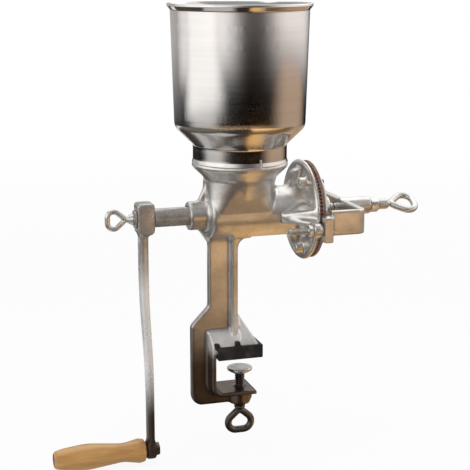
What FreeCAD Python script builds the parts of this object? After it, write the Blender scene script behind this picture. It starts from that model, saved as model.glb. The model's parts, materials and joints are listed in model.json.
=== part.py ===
"""Hand crank grain mill that clamps to a table edge.

Millimetres, +Z up.  X runs along the barrel, from the crank at -X to the grinding plates at +X.
The origin is on the table top, under the hopper's axis.
"""
import FreeCAD, Part
import os
import re
from math import atan2, pi

import Sketcher
from FreeCAD import Rotation, Vector

SIZES = {
    # barrel, rear wall and the bearing boss behind it
    "axis_height": 141.0,
    "barrel_diameter": 48.0,
    "barrel_wall": 4.0,
    "barrel_rear": 34.0,
    "rear_wall": 6.0,
    "boss_diameter": 28.0,
    "boss_length": 19.0,
    "cast_radius": 3.0,
    "running_clearance": 0.05,
    "pin_clearance": 0.02,
    # throat under the hopper
    "throat_height": 51.0,
    "throat_lip_diameter": 93.0,
    "throat_lip_thickness": 4.0,
    "throat_neck_diameter": 70.0,
    "throat_neck_drop": 15.0,
    "throat_neck_length": 3.0,
    "throat_neck_radius": 9.0,
    "throat_root_diameter": 40.0,
    "skirt_foot_width": 46.0,
    "skirt_waist_width": 56.0,
    "skirt_waist_height": 19.0,
    "saddle_web_thickness": 12.0,
    "saddle_height": 24.0,
    "saddle_radius": 7.0,
    "throat_wall": 4.0,
    "funnel_outlet_diameter": 34.0,
    "spigot_height": 9.0,
    "spigot_wall": 3.5,
    "lug_width": 2.4,
    "lug_height": 7.0,
    "lug_azimuth": -82.0,
    # flange that carries the fixed plate
    "flange_back": 60.0,
    "flange_thickness": 5.2,
    "flange_diameter": 99.5,
    "flange_rim_width": 12.0,
    "flange_rim_step": 0.8,
    "bell_radius": 14.0,
    "plate_recess": 2.0,
    "screw_circle_radius": 38.0,
    "screw_boss_diameter": 11.0,
    "screw_boss_length": 9.0,
    "ear_reach": 54.5,
    "ear_drop": 10.5,
    "ear_radius": 7.5,
    "ear_thickness": 8.0,
    "ear_setback": 5.0,
    "fin_thickness": 6.0,
    "fin_length": 27.0,
    "buttress_length": 25.0,
    "buttress_rise": 16.0,
    "buttress_depth": 7.0,
    "rear_fin_thickness": 6.0,
    # post and clamp frame
    "web_thickness": 8.0,
    "post_rear": 32.7,
    "post_front": 5.0,
    "post_flange_thickness": 6.0,
    "post_flange_width": 24.0,
    "clamp_rear": 50.5,
    "clamp_shoulder": 31.0,
    "clamp_shoulder_rise": 19.0,
    "clamp_corner_radius": 11.0,
    "mouth_depth": 29.6,
    "mouth_height": 35.4,
    "mouth_radius": 7.0,
    "clamp_flange_thickness": 4.4,
    "clamp_flange_width": 40.0,
    "lower_jaw_depth": 15.6,
    "lower_jaw_reach": 12.0,
    "upper_jaw_reach": 13.0,
    "upper_jaw_width": 44.0,
    "upper_jaw_edge": 7.0,
    "jaw_roof_rise": 13.0,
    "jaw_gusset_rise": 30.0,
    "clamp_boss_diameter": 21.0,
    "clamp_boss_length": 17.6,
    # rubber pad on the upper jaw
    "pad_floor": 6.0,
    "pad_lip_height": 7.5,
    "pad_lip_thickness": 3.2,
    # hopper of spun sheet
    "hopper_wall": 1.0,
    "hopper_height": 149.8,
    "hopper_lip_diameter": 138.0,
    "hopper_top_diameter": 132.0,
    "hopper_waist_diameter": 125.4,
    "hopper_collar_diameter": 90.5,
    "hopper_collar_height": 17.0,
    "hopper_shoulder_height": 34.0,
    "hopper_shoulder_radius": 12.0,
    "hopper_lip_drop": 6.0,
    "hopper_lip_width": 2.4,
    "hopper_clearance": 0.3,
    # grinding plates and their screws
    "plate_diameter": 96.0,
    "plate_thickness": 3.6,
    "plate_bore": 42.0,
    "plate_gap": 0.6,
    "plate_side_clearance": 0.3,
    "groove_count": 84.0,
    "groove_width": 2.0,
    "groove_depth": 1.2,
    "groove_start_radius": 30.0,
    "plate_screw_diameter": 5.0,
    "plate_screw_head": 9.0,
    "plate_screw_sink": 1.2,
    # shaft, feed worm and plate carrier
    "shaft_diameter": 18.0,
    "shaft_core_diameter": 14.0,
    "shaft_square": 12.6,
    "shaft_visible_length": 33.4,
    "worm_hub_diameter": 21.0,
    "worm_flight_clearance": 0.7,
    "worm_flight_thickness": 4.0,
    "worm_pitch": 24.0,
    "worm_end_clearance": 3.0,
    "worm_pin_diameter": 4.0,
    "carrier_diameter": 84.0,
    "carrier_thickness": 5.0,
    "carrier_hub_diameter": 30.0,
    "carrier_hub_length": 16.0,
    "carrier_pin_diameter": 5.0,
    "ball_diameter": 9.5,
    "ball_seat_depth": 4.0,
    # yoke, its studs and nuts
    "yoke_thickness": 6.0,
    "yoke_height": 24.0,
    "yoke_drop": 4.5,
    "yoke_inner_width": 102.0,
    "yoke_front": 110.0,
    "yoke_corner_radius": 9.0,
    "yoke_lug_width": 10.0,
    "yoke_lug_length": 9.0,
    "yoke_lug_height": 25.0,
    "yoke_lug_gap": 0.5,
    "yoke_hub_diameter": 17.5,
    "yoke_hub_length": 26.0,
    "stud_diameter": 6.0,
    "stud_shoulder_diameter": 7.5,
    "stud_tail": 24.0,
    "stud_nut_flats": 10.0,
    "stud_nut_thickness": 4.5,
    # adjusting screw and lock nut
    "adjuster_diameter": 8.0,
    "adjuster_collar_diameter": 10.5,
    "adjuster_collar_length": 9.0,
    "adjuster_eye_length": 33.5,
    "adjuster_eye_width": 30.0,
    "adjuster_eye_rod": 6.5,
    "adjuster_eye_spread": 39.0,
    "adjuster_eye_roll": 62.0,
    "lock_nut_flats": 13.5,
    "lock_nut_thickness": 8.0,
    "lock_nut_gap": 1.0,
    # crank, its screw and the turning grip
    "crank_hub_length": 17.4,
    "crank_hub_height": 31.0,
    "crank_hub_depth": 19.0,
    "crank_throw": 233.5,
    "crank_arm_thickness": 8.4,
    "crank_arm_foot_thickness": 6.8,
    "crank_arm_width": 14.0,
    "crank_arm_offset": 4.5,
    "crank_arm_setback": 6.3,
    "crank_bend_start": 76.0,
    "crank_bend_length": 76.0,
    "crank_bend_radius": 1100.0,
    "crank_boss_diameter": 19.0,
    "crank_boss_length": 10.0,
    "crank_screw_diameter": 8.0,
    "crank_screw_depth": 16.0,
    "crank_screw_neck_length": 5.0,
    "crank_eye_length": 23.0,
    "crank_eye_width": 21.5,
    "crank_eye_rod": 5.0,
    "crank_eye_spread": 40.0,
    "washer_diameter": 17.0,
    "washer_thickness": 1.6,
    "grip_length": 90.0,
    "grip_diameter": 24.8,
    "grip_waist_diameter": 18.8,
    "grip_inner_diameter": 24.0,
    "grip_bolt_diameter": 7.0,
    "grip_bolt_head_diameter": 12.0,
    "grip_bolt_head_length": 4.0,
    "grip_washer_diameter": 16.0,
    "grip_washer_thickness": 1.2,
    "grip_end_play": 0.3,
    "grip_nut_flats": 12.0,
    "grip_nut_thickness": 3.2,
    # clamp screw and its swivel pad
    "clamp_screw_diameter": 10.0,
    "clamp_screw_gap": 3.0,
    "clamp_neck_diameter": 11.0,
    "clamp_neck_length": 4.0,
    "clamp_eye_length": 29.5,
    "clamp_eye_width": 31.0,
    "clamp_eye_rod": 7.0,
    "clamp_eye_spread": 49.0,
    "swivel_pad_diameter": 25.0,
    "swivel_pad_thickness": 5.0,
    "swivel_pad_top": -16.0,
    "swivel_pin_diameter": 7.0,
    "swivel_pin_length": 3.0,
}

BOSS_ANGLES = (7.0, 127.0, 247.0)
SIDES = (-1, 1)
FULL_TURN = 360.0
# rest directions of a rod, a disc or a screw whose own axis is Z
ALONG = {
    "+X": Rotation(Vector(0, 1, 0), 90),
    "-X": Rotation(Vector(0, 1, 0), -90),
    "+Z": Rotation(),
}

doc = FreeCAD.newDocument("grain_mill")
sheet = doc.addObject("Spreadsheet::Sheet", "Sizes")
for row, (alias, size) in enumerate(SIZES.items(), start=1):
    sheet.set(f"A{row}", alias.replace("_", " "))
    sheet.set(f"B{row}", str(size))
    sheet.setAlias(f"B{row}", alias)
doc.recompute()


def tied(text):
    """Point each size that an expression names at its cell on the sheet."""
    return re.sub(r"[a-z_]+", lambda word: f"Sizes.{word[0]}" if word[0] in SIZES else word[0], str(text))


def value(text):
    """The number that an expression on the sheet gives."""
    return float(sheet.evalExpression(tied(text)))


def bind(item, **expressions):
    """Tie properties of a document object to sizes on the sheet."""
    for name, text in expressions.items():
        item.setExpression(name, tied(text))


def place(item, x="0", y="0", z="0", turn=Rotation()):
    """Turn an object, then tie its place to sizes on the sheet."""
    item.Placement = FreeCAD.Placement(Vector(), turn)
    for axis, text in zip("xyz", (x, y, z)):
        item.setExpression(f"Placement.Base.{axis}", tied(text))
    return item


def rod(name, diameter, length, x="0", y="0", z="0", along="+X"):
    """A plain round bar that starts at a point."""
    bar = doc.addObject("Part::Cylinder", name)
    bind(bar, Radius=f"({diameter}) / 2", Height=length)
    return place(bar, x, y, z, ALONG[along])


def block(name, low, high):
    """A box between two corners."""
    box = doc.addObject("Part::Box", name)
    for side, start, end in zip(("Length", "Width", "Height"), low, high):
        box.setExpression(side, tied(f"({end}) - ({start})"))
    return place(box, *low)


def wedge(name, base_low, base_high, top_low, top_high, bottom, top):
    """A block whose top rectangle is smaller than its base: corners are (x, y) pairs."""
    roof = doc.addObject("Part::Wedge", name)
    bind(roof, Ymin=f"-({top})", Ymax=f"-({bottom})")
    bind(roof, Xmin=top_low[0], Zmin=top_low[1], Xmax=top_high[0], Zmax=top_high[1])
    bind(roof, X2min=base_low[0], Z2min=base_low[1], X2max=base_high[0], Z2max=base_high[1])
    roof.Placement = FreeCAD.Placement(Vector(), Rotation(Vector(1, 0, 0), -90))
    return roof


def joined(name, shapes):
    """One solid from several that overlap."""
    whole = doc.addObject("Part::MultiFuse", name)
    whole.Shapes = shapes
    whole.Refine = True
    return whole


def group(name, shapes):
    """Separate solids that share one node."""
    set_of = doc.addObject("Part::Compound", name)
    set_of.Links = shapes
    return set_of


def cut(name, base, tools):
    """A solid with other shapes taken out of it."""
    rest = doc.addObject("Part::Cut", name)
    rest.Base = base
    rest.Tool = tools[0] if len(tools) == 1 else joined(f"{name}_tools", tools)
    rest.Refine = True
    return rest


def new_sketch(body, name, plane, offset="0"):
    """A sketch on one of its body's own planes, or parallel to it."""
    planes = {feature.Role: feature for feature in body.Origin.OriginFeatures}
    sketch = body.newObject("Sketcher::SketchObject", name)
    sketch.AttachmentSupport = [(planes[f"{plane}_Plane"], "")]
    sketch.MapMode = "FlatFace"
    sketch.setExpression("AttachmentOffset.Base.z", tied(offset))
    return sketch


def tie_point(sketch, geometry, position, across, up):
    """Hold a point of a sketch at a place given by two sizes."""
    for kind, text, axis in (("DistanceX", across, -2), ("DistanceY", up, -1)):
        if str(text) == "0":
            sketch.addConstraint(Sketcher.Constraint("PointOnObject", geometry, position, axis))
            continue
        number = sketch.addConstraint(Sketcher.Constraint(kind, -1, 1, geometry, position, value(text)))
        sketch.renameConstraint(number, f"{kind}_{geometry}_{position}")
        sketch.setExpression(f"Constraints.{kind}_{geometry}_{position}", tied(text))


def corner_arc(before, corner, after, radius):
    """Where a rounded corner's arc starts and ends, and its centre."""
    to_before = (before - corner).normalize()
    to_after = (after - corner).normalize()
    middle = (to_before + to_after).normalize()
    along = middle.dot(to_before)
    reach = radius / (1 - along * along) ** 0.5
    run = reach * along
    return corner + to_before * run, corner + to_after * run, corner + middle * reach


def fitted_radii(points, wanted):
    """The corners' radii, kept small enough for the lines between them."""
    count = len(points)
    runs = []
    for index, radius in enumerate(wanted):
        if not radius:
            runs.append(0.0)
            continue
        start, _, _ = corner_arc(points[index - 1], points[index], points[(index + 1) % count], radius)
        runs.append((start - points[index]).Length)
    share = [1.0] * count
    for index in range(count):
        following = (index + 1) % count
        taken = runs[index] + runs[following]
        room = 0.98 * (points[following] - points[index]).Length
        if taken > room:
            share[index] = min(share[index], room / taken)
            share[following] = min(share[following], room / taken)
    return [radius * part for radius, part in zip(wanted, share)]


def outline(sketch, corners):
    """Close a chain of lines through corners given as (across, up) or (across, up, radius)."""
    points = [Vector(value(corner[0]), value(corner[1]), 0) for corner in corners]
    wanted = [value(corner[2]) if len(corner) > 2 else 0.0 for corner in corners]
    radii = fitted_radii(points, wanted)
    count = len(points)
    ends = []
    for index, point in enumerate(points):
        if not radii[index]:
            ends.append((point, point, None))
            continue
        following = points[(index + 1) % count]
        ends.append(corner_arc(points[index - 1], point, following, radii[index]))
    lines = []
    for index in range(count):
        segment = Part.LineSegment(ends[index][1], ends[(index + 1) % count][0])
        lines.append(sketch.addGeometry(segment, False))
    for index, corner in enumerate(corners):
        before, after = lines[index - 1], lines[index]
        if not radii[index]:
            sketch.addConstraint(Sketcher.Constraint("Coincident", before, 2, after, 1))
            tie_point(sketch, after, 1, corner[0], corner[1])
            continue
        start, end, centre = ends[index]
        angles = [atan2(point.y - centre.y, point.x - centre.x) for point in (start, end)]
        left_turn = (angles[1] - angles[0]) % (2 * pi) < pi
        first, last = angles if left_turn else angles[::-1]
        circle = Part.Circle(centre, Vector(0, 0, 1), radii[index])
        arc = sketch.addGeometry(Part.ArcOfCircle(circle, first, last), False)
        tip = sketch.addGeometry(Part.Point(points[index]), True)
        enters, leaves = (1, 2) if left_turn else (2, 1)
        sketch.addConstraint(Sketcher.Constraint("Tangent", before, 2, arc, enters))
        sketch.addConstraint(Sketcher.Constraint("Tangent", arc, leaves, after, 1))
        sketch.addConstraint(Sketcher.Constraint("PointOnObject", tip, 1, before))
        sketch.addConstraint(Sketcher.Constraint("PointOnObject", tip, 1, after))
        tie_point(sketch, tip, 1, corner[0], corner[1])
        number = sketch.addConstraint(Sketcher.Constraint("Radius", arc, radii[index]))
        if radii[index] == wanted[index]:
            sketch.renameConstraint(number, f"radius_{index}")
            sketch.setExpression(f"Constraints.radius_{index}", tied(corner[2]))
    return sketch


def disc_outline(sketch, diameter, across="0", up="0"):
    """A circle in a sketch, with its size and centre tied to the sheet."""
    centre = Vector(value(across), value(up), 0)
    circle = Part.Circle(centre, Vector(0, 0, 1), value(diameter) / 2)
    geometry = sketch.addGeometry(circle, False)
    tie_point(sketch, geometry, 3, across, up)
    number = sketch.addConstraint(Sketcher.Constraint("Diameter", geometry, value(diameter)))
    sketch.renameConstraint(number, "diameter")
    sketch.setExpression("Constraints.diameter", tied(diameter))
    return sketch


def turned(name, corners, axis="X", x="0", y="0", z="0", turn=Rotation()):
    """A body of revolution: corners are (along X, radius) about X, or (radius, up) about Z."""
    body = doc.addObject("PartDesign::Body", name)
    sketch = outline(new_sketch(body, f"{name}_profile", "XZ"), corners)
    spin = body.newObject("PartDesign::Revolution", f"{name}_turning")
    spin.Profile = sketch
    spin.ReferenceAxis = (sketch, ["H_Axis" if axis == "X" else "V_Axis"])
    spin.Angle = FULL_TURN
    return place(body, x, y, z, turn)


def padded(name, corners, plane, start, depth, x="0", y="0", z="0", turn=Rotation()):
    """A flat outline on a plane, given thickness along the plane's normal."""
    body = doc.addObject("PartDesign::Body", name)
    sketch = outline(new_sketch(body, f"{name}_outline", plane, start), corners)
    pad = body.newObject("PartDesign::Pad", f"{name}_pad")
    pad.Profile = sketch
    bind(pad, Length=depth)
    return place(body, x, y, z, turn)


def lofted(name, plane, sections, x="0", y="0", z="0"):
    """A body drawn straight through outlines on parallel planes: sections are (place, corners) pairs."""
    body = doc.addObject("PartDesign::Body", name)
    sketches = []
    for number, (offset, corners) in enumerate(sections):
        sketches.append(outline(new_sketch(body, f"{name}_section_{number}", plane, offset), corners))
    loft = body.newObject("PartDesign::AdditiveLoft", f"{name}_loft")
    loft.Profile = sketches[0]
    loft.Sections = sketches[1:]
    loft.Ruled = True
    return place(body, x, y, z)


def upright(name, corners, width):
    """A plate in the X-Z plane, half of its width on each side."""
    return padded(name, corners, "XZ", f"-({width}) / 2", width)


def hex_bar(name, flats, length, x="0", y="0", z="0"):
    """A six-sided bar along +X with its flats upright."""
    corners = [(f"({flats}) / sqrt(3) * cos({angle})", f"({flats}) / sqrt(3) * sin({angle})")
               for angle in range(30, 390, 60)]
    return padded(name, corners, "YZ", "0", length, x, y, z)


def eye_screw(name, shank, eye, **where):
    """A turned screw whose -Z end is a rod bent into a closed eye.

    The shank's corners are (radius, up).  The eye hangs below the screw's own origin, and its sizes
    start with the given word: length, width, rod and spread, half of the angle at its neck.
    """
    rod_size = f"{eye}_rod"
    body = turned(name, shank, "Z", **where)
    path = new_sketch(body, f"{name}_path", "XZ")
    half = f"({eye}_width - {rod_size}) / 2"
    base = f"-({eye}_length - {rod_size} / 2)"
    tip = f"-{rod_size} * 0.55"
    corner = f"({tip} - ({base})) * tan({eye}_spread)"
    bend = f"({corner} - {half}) / (1 / tan(45 - {eye}_spread / 2) - 1)"
    outline(path, [("0", tip, f"{rod_size} * 0.7"), (corner, base, bend), (f"-({corner})", base, bend)])
    section = disc_outline(new_sketch(body, f"{name}_section", "YZ"), rod_size, "0", base)
    loop = body.newObject("PartDesign::AdditivePipe", f"{name}_loop")
    loop.Profile = section
    loop.Spine = (path, [])
    return body


# Places along X that several pieces share.
BARREL_END = "-barrel_rear"
BOSS_END = f"({BARREL_END} - boss_length)"
FLANGE_FACE = "(flange_back + flange_thickness)"
PLATE_SEAT = f"({FLANGE_FACE} - plate_recess)"
FIXED_FACE = f"({PLATE_SEAT} + plate_thickness)"
MOVING_FACE = f"({FIXED_FACE} + plate_gap)"
CARRIER_FACE = f"({MOVING_FACE} + plate_thickness)"
CARRIER_FRONT = f"({CARRIER_FACE} + carrier_thickness + carrier_hub_length)"
SHAFT_FRONT = f"({CARRIER_FRONT} + 1)"
BALL_CENTRE = f"({SHAFT_FRONT} - ball_seat_depth + running_clearance + ball_diameter / 2)"
ADJUSTER_TIP = f"({BALL_CENTRE} + ball_diameter / 2 + running_clearance)"
YOKE_HUB_END = "(yoke_front + yoke_hub_length)"
LOCK_NUT_START = f"({YOKE_HUB_END} + lock_nut_gap)"
ADJUSTER_COLLAR = f"({LOCK_NUT_START} + lock_nut_thickness + lock_nut_gap)"
ADJUSTER_EYE = f"({ADJUSTER_COLLAR} + adjuster_collar_length)"
SHAFT_SHOULDER = f"({BOSS_END} - shaft_visible_length)"
CRANK_OUTER = f"({SHAFT_SHOULDER} - crank_hub_length)"
WASHER_OUTER = f"({CRANK_OUTER} - washer_thickness)"
EAR_BACK = "(flange_back - ear_setback)"
EAR_FRONT = f"({EAR_BACK} + ear_thickness)"
LUG_BACK = f"({FLANGE_FACE} + yoke_lug_gap)"
LUG_FRONT = f"({LUG_BACK} + yoke_lug_length)"
CRANK_LINE = f"({SHAFT_SHOULDER} - crank_arm_setback - crank_arm_thickness / 2)"
GRIP_ARM = f"({CRANK_LINE} + crank_arm_offset)"
GRIP_BOSS_OUTER = f"({GRIP_ARM} - crank_boss_length / 2)"
GRIP_INNER = f"({GRIP_BOSS_OUTER} - grip_washer_thickness - grip_end_play)"
GRIP_OUTER = f"({GRIP_INNER} - grip_length)"
# Heights that several pieces share.
STUD_HEIGHT = "(axis_height - ear_drop)"
LIP_TOP = "(axis_height + throat_height)"
GRIP_HEIGHT = "(axis_height - crank_throw)"
JAW_TOP = "(pad_floor + upper_jaw_edge)"
LOWER_JAW = "-mouth_height"
CLAMP_BOTTOM = f"({LOWER_JAW} - lower_jaw_depth)"
CLAMP_BOSS_BOTTOM = f"({LOWER_JAW} - clamp_boss_length)"
CLAMP_EYE = f"({CLAMP_BOSS_BOTTOM} - clamp_screw_gap)"
# Radii that a piece and its seat share.
BORE_RADIUS = "(barrel_diameter / 2 - barrel_wall)"
COLLAR_BORE = "(hopper_collar_diameter / 2 - hopper_wall)"
SPIGOT_RADIUS = f"({COLLAR_BORE} - hopper_clearance)"


def on_circle(angle):
    """Where a plate screw sits on its circle, as (y, z) expressions."""
    across = f"screw_circle_radius * cos({angle})"
    up = f"axis_height + screw_circle_radius * sin({angle})"
    return across, up


def barrel_and_flange():
    """Boss, barrel, bell and flange, turned about the barrel's axis."""
    rim = "flange_diameter / 2"
    rim_root = f"({rim} - flange_rim_width)"
    rim_back = "(flange_back + flange_rim_step)"
    return turned("barrel_blank", [
        (BOSS_END, "0"),
        (BOSS_END, "boss_diameter / 2", "1.5"),
        (BARREL_END, "boss_diameter / 2", "cast_radius"),
        (BARREL_END, "barrel_diameter / 2", "cast_radius"),
        ("flange_back", "barrel_diameter / 2", "bell_radius"),
        ("flange_back", rim_root),
        (rim_back, f"{rim_root} + 1"),
        (rim_back, rim, "3"),
        (FLANGE_FACE, rim, "1"),
        (FLANGE_FACE, "0"),
    ], z="axis_height")


def throat():
    """Funnel, neck, lip and the spigot that the hopper slips over, turned about Z."""
    neck = "throat_neck_diameter / 2"
    neck_top = "(throat_height - throat_neck_drop)"
    neck_foot = f"({neck_top} - throat_neck_length)"
    lip = "throat_lip_diameter / 2"
    lip_under = "(throat_height - throat_lip_thickness)"
    spigot_top = "(throat_height + spigot_height)"
    return turned("throat_blank", [
        ("0", "0"),
        ("throat_root_diameter / 2", "0"),
        (neck, neck_foot, "throat_neck_radius"),
        (neck, neck_top, "throat_neck_radius"),
        (lip, lip_under, "1"),
        (lip, "throat_height", "1"),
        (SPIGOT_RADIUS, "throat_height"),
        (SPIGOT_RADIUS, spigot_top, "0.8"),
        ("0", spigot_top),
    ], "Z", z="axis_height")


def throat_skirt():
    """Cast skirt that widens the throat's foot to the barrel's length."""
    neck = "throat_neck_diameter / 2"
    foot = rounded_plan(f"-({neck} - 1.5)", f"{neck} - 4", "skirt_foot_width / 2", "6")
    waist = rounded_plan(f"-({neck} - 0.2)", f"{neck} - 3.5", "skirt_waist_width / 2", "20")
    top = rounded_plan(f"-({neck} - 0.4)", f"{neck} - 1.5", f"{neck} - 0.6", "32")
    return lofted("throat_skirt", "XY", [
        ("0", foot),
        ("skirt_waist_height", waist),
        ("throat_height - throat_neck_drop", top),
    ], z="axis_height")


def rounded_plan(rear, front, half, radius):
    """A rounded rectangle seen from above, as corners."""
    return [(rear, f"-({half})", radius), (front, f"-({half})", radius), (front, half, radius),
            (rear, half, radius)]


def saddle_web():
    """Upright web between throat and flange, with a hollow top edge."""
    neck = "throat_neck_diameter / 2"
    saddle = "axis_height + saddle_height"
    return upright("saddle_web", [
        (f"{neck} - 8", "axis_height"),
        (f"{neck} - 8", f"{saddle} + 14"),
        (f"{neck} - 1", f"{saddle} + 14"),
        (f"{neck} - 3", saddle, "saddle_radius"),
        ("flange_back - 9", saddle, "saddle_radius"),
        ("flange_back - 7", f"{saddle} + 15", "3"),
        ("flange_back + 2", f"{saddle} + 18"),
        ("flange_back + 2", "axis_height"),
    ], "saddle_web_thickness")


def hopper_lug():
    """Small cast lug on the spigot that keys the hopper."""
    lug = block("hopper_lug", (f"{SPIGOT_RADIUS} - 1", "-lug_width / 2", LIP_TOP),
                ("hopper_collar_diameter / 2", "lug_width / 2", f"{LIP_TOP} + lug_height"))
    return turned_about_z("hopper_lug_turned", lug)


def turned_about_z(name, item):
    """A copy of a shape, swung round the hopper's axis to the lug's azimuth."""
    swung = doc.addObject("Part::Compound", name)
    swung.Links = [item]
    swung.Placement = FreeCAD.Placement(Vector(), Rotation(Vector(0, 0, 1), value("lug_azimuth")))
    swung.setExpression("Placement.Rotation.Angle", tied("lug_azimuth"))
    return swung


def post_and_clamp_web():
    """The upright web: post, shoulder and the C of the clamp, in one plate."""
    spine = "-clamp_rear"
    mouth = "-mouth_depth"
    return upright("web", [
        ("-post_rear", "axis_height"),
        ("-post_rear", "clamp_shoulder + clamp_shoulder_rise", "4"),
        (spine, "clamp_shoulder", "4"),
        (spine, CLAMP_BOTTOM, "clamp_corner_radius"),
        ("lower_jaw_reach", CLAMP_BOTTOM, "3"),
        ("lower_jaw_reach", LOWER_JAW),
        (mouth, LOWER_JAW, "mouth_radius"),
        (mouth, "pad_floor"),
        ("upper_jaw_reach", "pad_floor"),
        ("upper_jaw_reach", JAW_TOP),
        ("-post_front", f"{JAW_TOP} + jaw_gusset_rise"),
        ("-post_front", "axis_height"),
    ], "web_thickness")


def clamp_flanges():
    """Flanges that stiffen the post, the C's inner edge and the lower jaw."""
    post_flange = block("post_flange",
                        ("-post_front - post_flange_thickness", "-post_flange_width / 2", "pad_floor"),
                        ("-post_front", "post_flange_width / 2", "axis_height"))
    back = "(-mouth_depth - clamp_flange_thickness)"
    under = f"({LOWER_JAW} - clamp_flange_thickness)"
    inner_edge = upright("clamp_inner_flange", [
        (back, JAW_TOP),
        (back, under, "mouth_radius + clamp_flange_thickness"),
        ("lower_jaw_reach", under),
        ("lower_jaw_reach", LOWER_JAW),
        ("-mouth_depth", LOWER_JAW, "mouth_radius"),
        ("-mouth_depth", JAW_TOP),
    ], "clamp_flange_width")
    return [post_flange, inner_edge]


def upper_jaw():
    """Jaw slab with a roof that slopes up to the web and to the post."""
    half = "upper_jaw_width / 2"
    ridge = "web_thickness / 2"
    back = "(-mouth_depth - clamp_flange_thickness)"
    slab = block("jaw_slab", (back, f"-{half}", "pad_floor"), ("upper_jaw_reach", half, JAW_TOP))
    roof = wedge("jaw_roof", (back, f"-{half}"), ("-post_front", half),
                 (back, f"-{ridge}"), ("-post_front", ridge), JAW_TOP, f"{JAW_TOP} + jaw_roof_rise")
    gusset = wedge("jaw_gusset", ("-post_front", f"-{half}"), ("upper_jaw_reach", half),
                   ("-post_front", f"-{ridge}"), ("-post_front + 0.5", ridge),
                   JAW_TOP, f"{JAW_TOP} + jaw_gusset_rise")
    return [slab, roof, gusset]


def flange_ears_and_fins():
    """Ears for the yoke's studs, and the fins that brace them from the barrel."""
    pieces = []
    for side, hand in zip(SIDES, ("near", "far")):
        tip = f"{side} * (ear_reach + ear_radius)"
        root = f"{side} * ear_reach * 0.75"
        low = "-ear_drop - ear_radius"
        high = "-ear_drop + ear_radius"
        ear = [(root, low), (tip, low, "ear_radius * 0.97"), (tip, high, "ear_radius * 0.97"), (root, high)]
        pieces.append(padded(f"{hand}_ear", ear, "YZ", EAR_BACK, "ear_thickness", z="axis_height"))
        start = f"{side} * {BORE_RADIUS}"
        end = f"{side} * (ear_reach - stud_nut_flats * 0.6)"
        seat = "flange_back + 2"
        fin = [("flange_back - fin_length", start), (EAR_BACK, end), (seat, end), (seat, start)]
        pieces.append(padded(f"{hand}_fin", fin, "XY", "-fin_thickness / 2", "fin_thickness",
                             z="axis_height - ear_drop / 2"))
        pieces.append(ear_buttress(side, hand))
    return pieces


def ear_buttress(side, hand):
    """Buttress from the barrel's flank to the flange beside an ear."""
    inner = f"{side} * (barrel_diameter / 2 - 9)"
    outer = f"{side} * (ear_reach - stud_nut_flats * 0.6)"
    nose = f"{side} * (barrel_diameter / 2 + 1)"
    root = [(inner, "buttress_rise"), (outer, "buttress_rise / 2"), (outer, "-buttress_depth"),
            (inner, "-buttress_depth")]
    tip = [(inner, "buttress_rise / 8"), (nose, "buttress_rise / 16"), (nose, "-buttress_depth / 2"),
           (inner, "-buttress_depth / 2")]
    return lofted(f"{hand}_buttress", "YZ", [
        ("flange_back - buttress_length", tip),
        ("flange_back + 2", root),
    ], z="axis_height")


def rear_fins():
    """Fins above and below the bearing boss, and the fillet before the post."""
    neck_foot = "axis_height + throat_height - throat_neck_drop - throat_neck_length"
    above = upright("upper_rear_fin", [
        (f"{BOSS_END} + 10", "axis_height"),
        (f"{BOSS_END} + 10", "axis_height + boss_diameter / 2 - 1"),
        ("-throat_neck_diameter / 2 + 1", neck_foot),
        ("-throat_neck_diameter / 2 + 6", "axis_height"),
    ], "rear_fin_thickness")
    below = upright("lower_rear_fin", [
        (f"{BOSS_END} + 10", "axis_height"),
        (f"{BOSS_END} + 10", "axis_height - boss_diameter / 2 + 1"),
        ("-post_rear", "axis_height - barrel_diameter / 2 - 4", "4"),
        ("-post_rear + 6", "axis_height - barrel_diameter / 2 - 4"),
        ("-post_rear + 6", "axis_height"),
    ], "rear_fin_thickness")
    under = "axis_height - barrel_diameter / 2"
    before = upright("post_fillet", [
        ("-post_front - 1", "axis_height - 10"),
        ("-post_front - 1", f"{under} - 12"),
        ("-post_front", f"{under} - 12"),
        ("-post_front", f"{under} + 0.5", "9"),
        ("-post_front + 13", f"{under} + 0.5"),
        ("-post_front + 13", "axis_height - 10"),
    ], "post_flange_width")
    return [above, below, before]


def screw_bosses():
    """Tapped bosses on the flange's back for the fixed plate's screws."""
    bosses = []
    for number, angle in enumerate(BOSS_ANGLES):
        across, up = on_circle(angle)
        bosses.append(rod(f"flange_boss_{number}", "screw_boss_diameter", "screw_boss_length + 2",
                          "flange_back - screw_boss_length", across, up))
    return bosses


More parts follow.
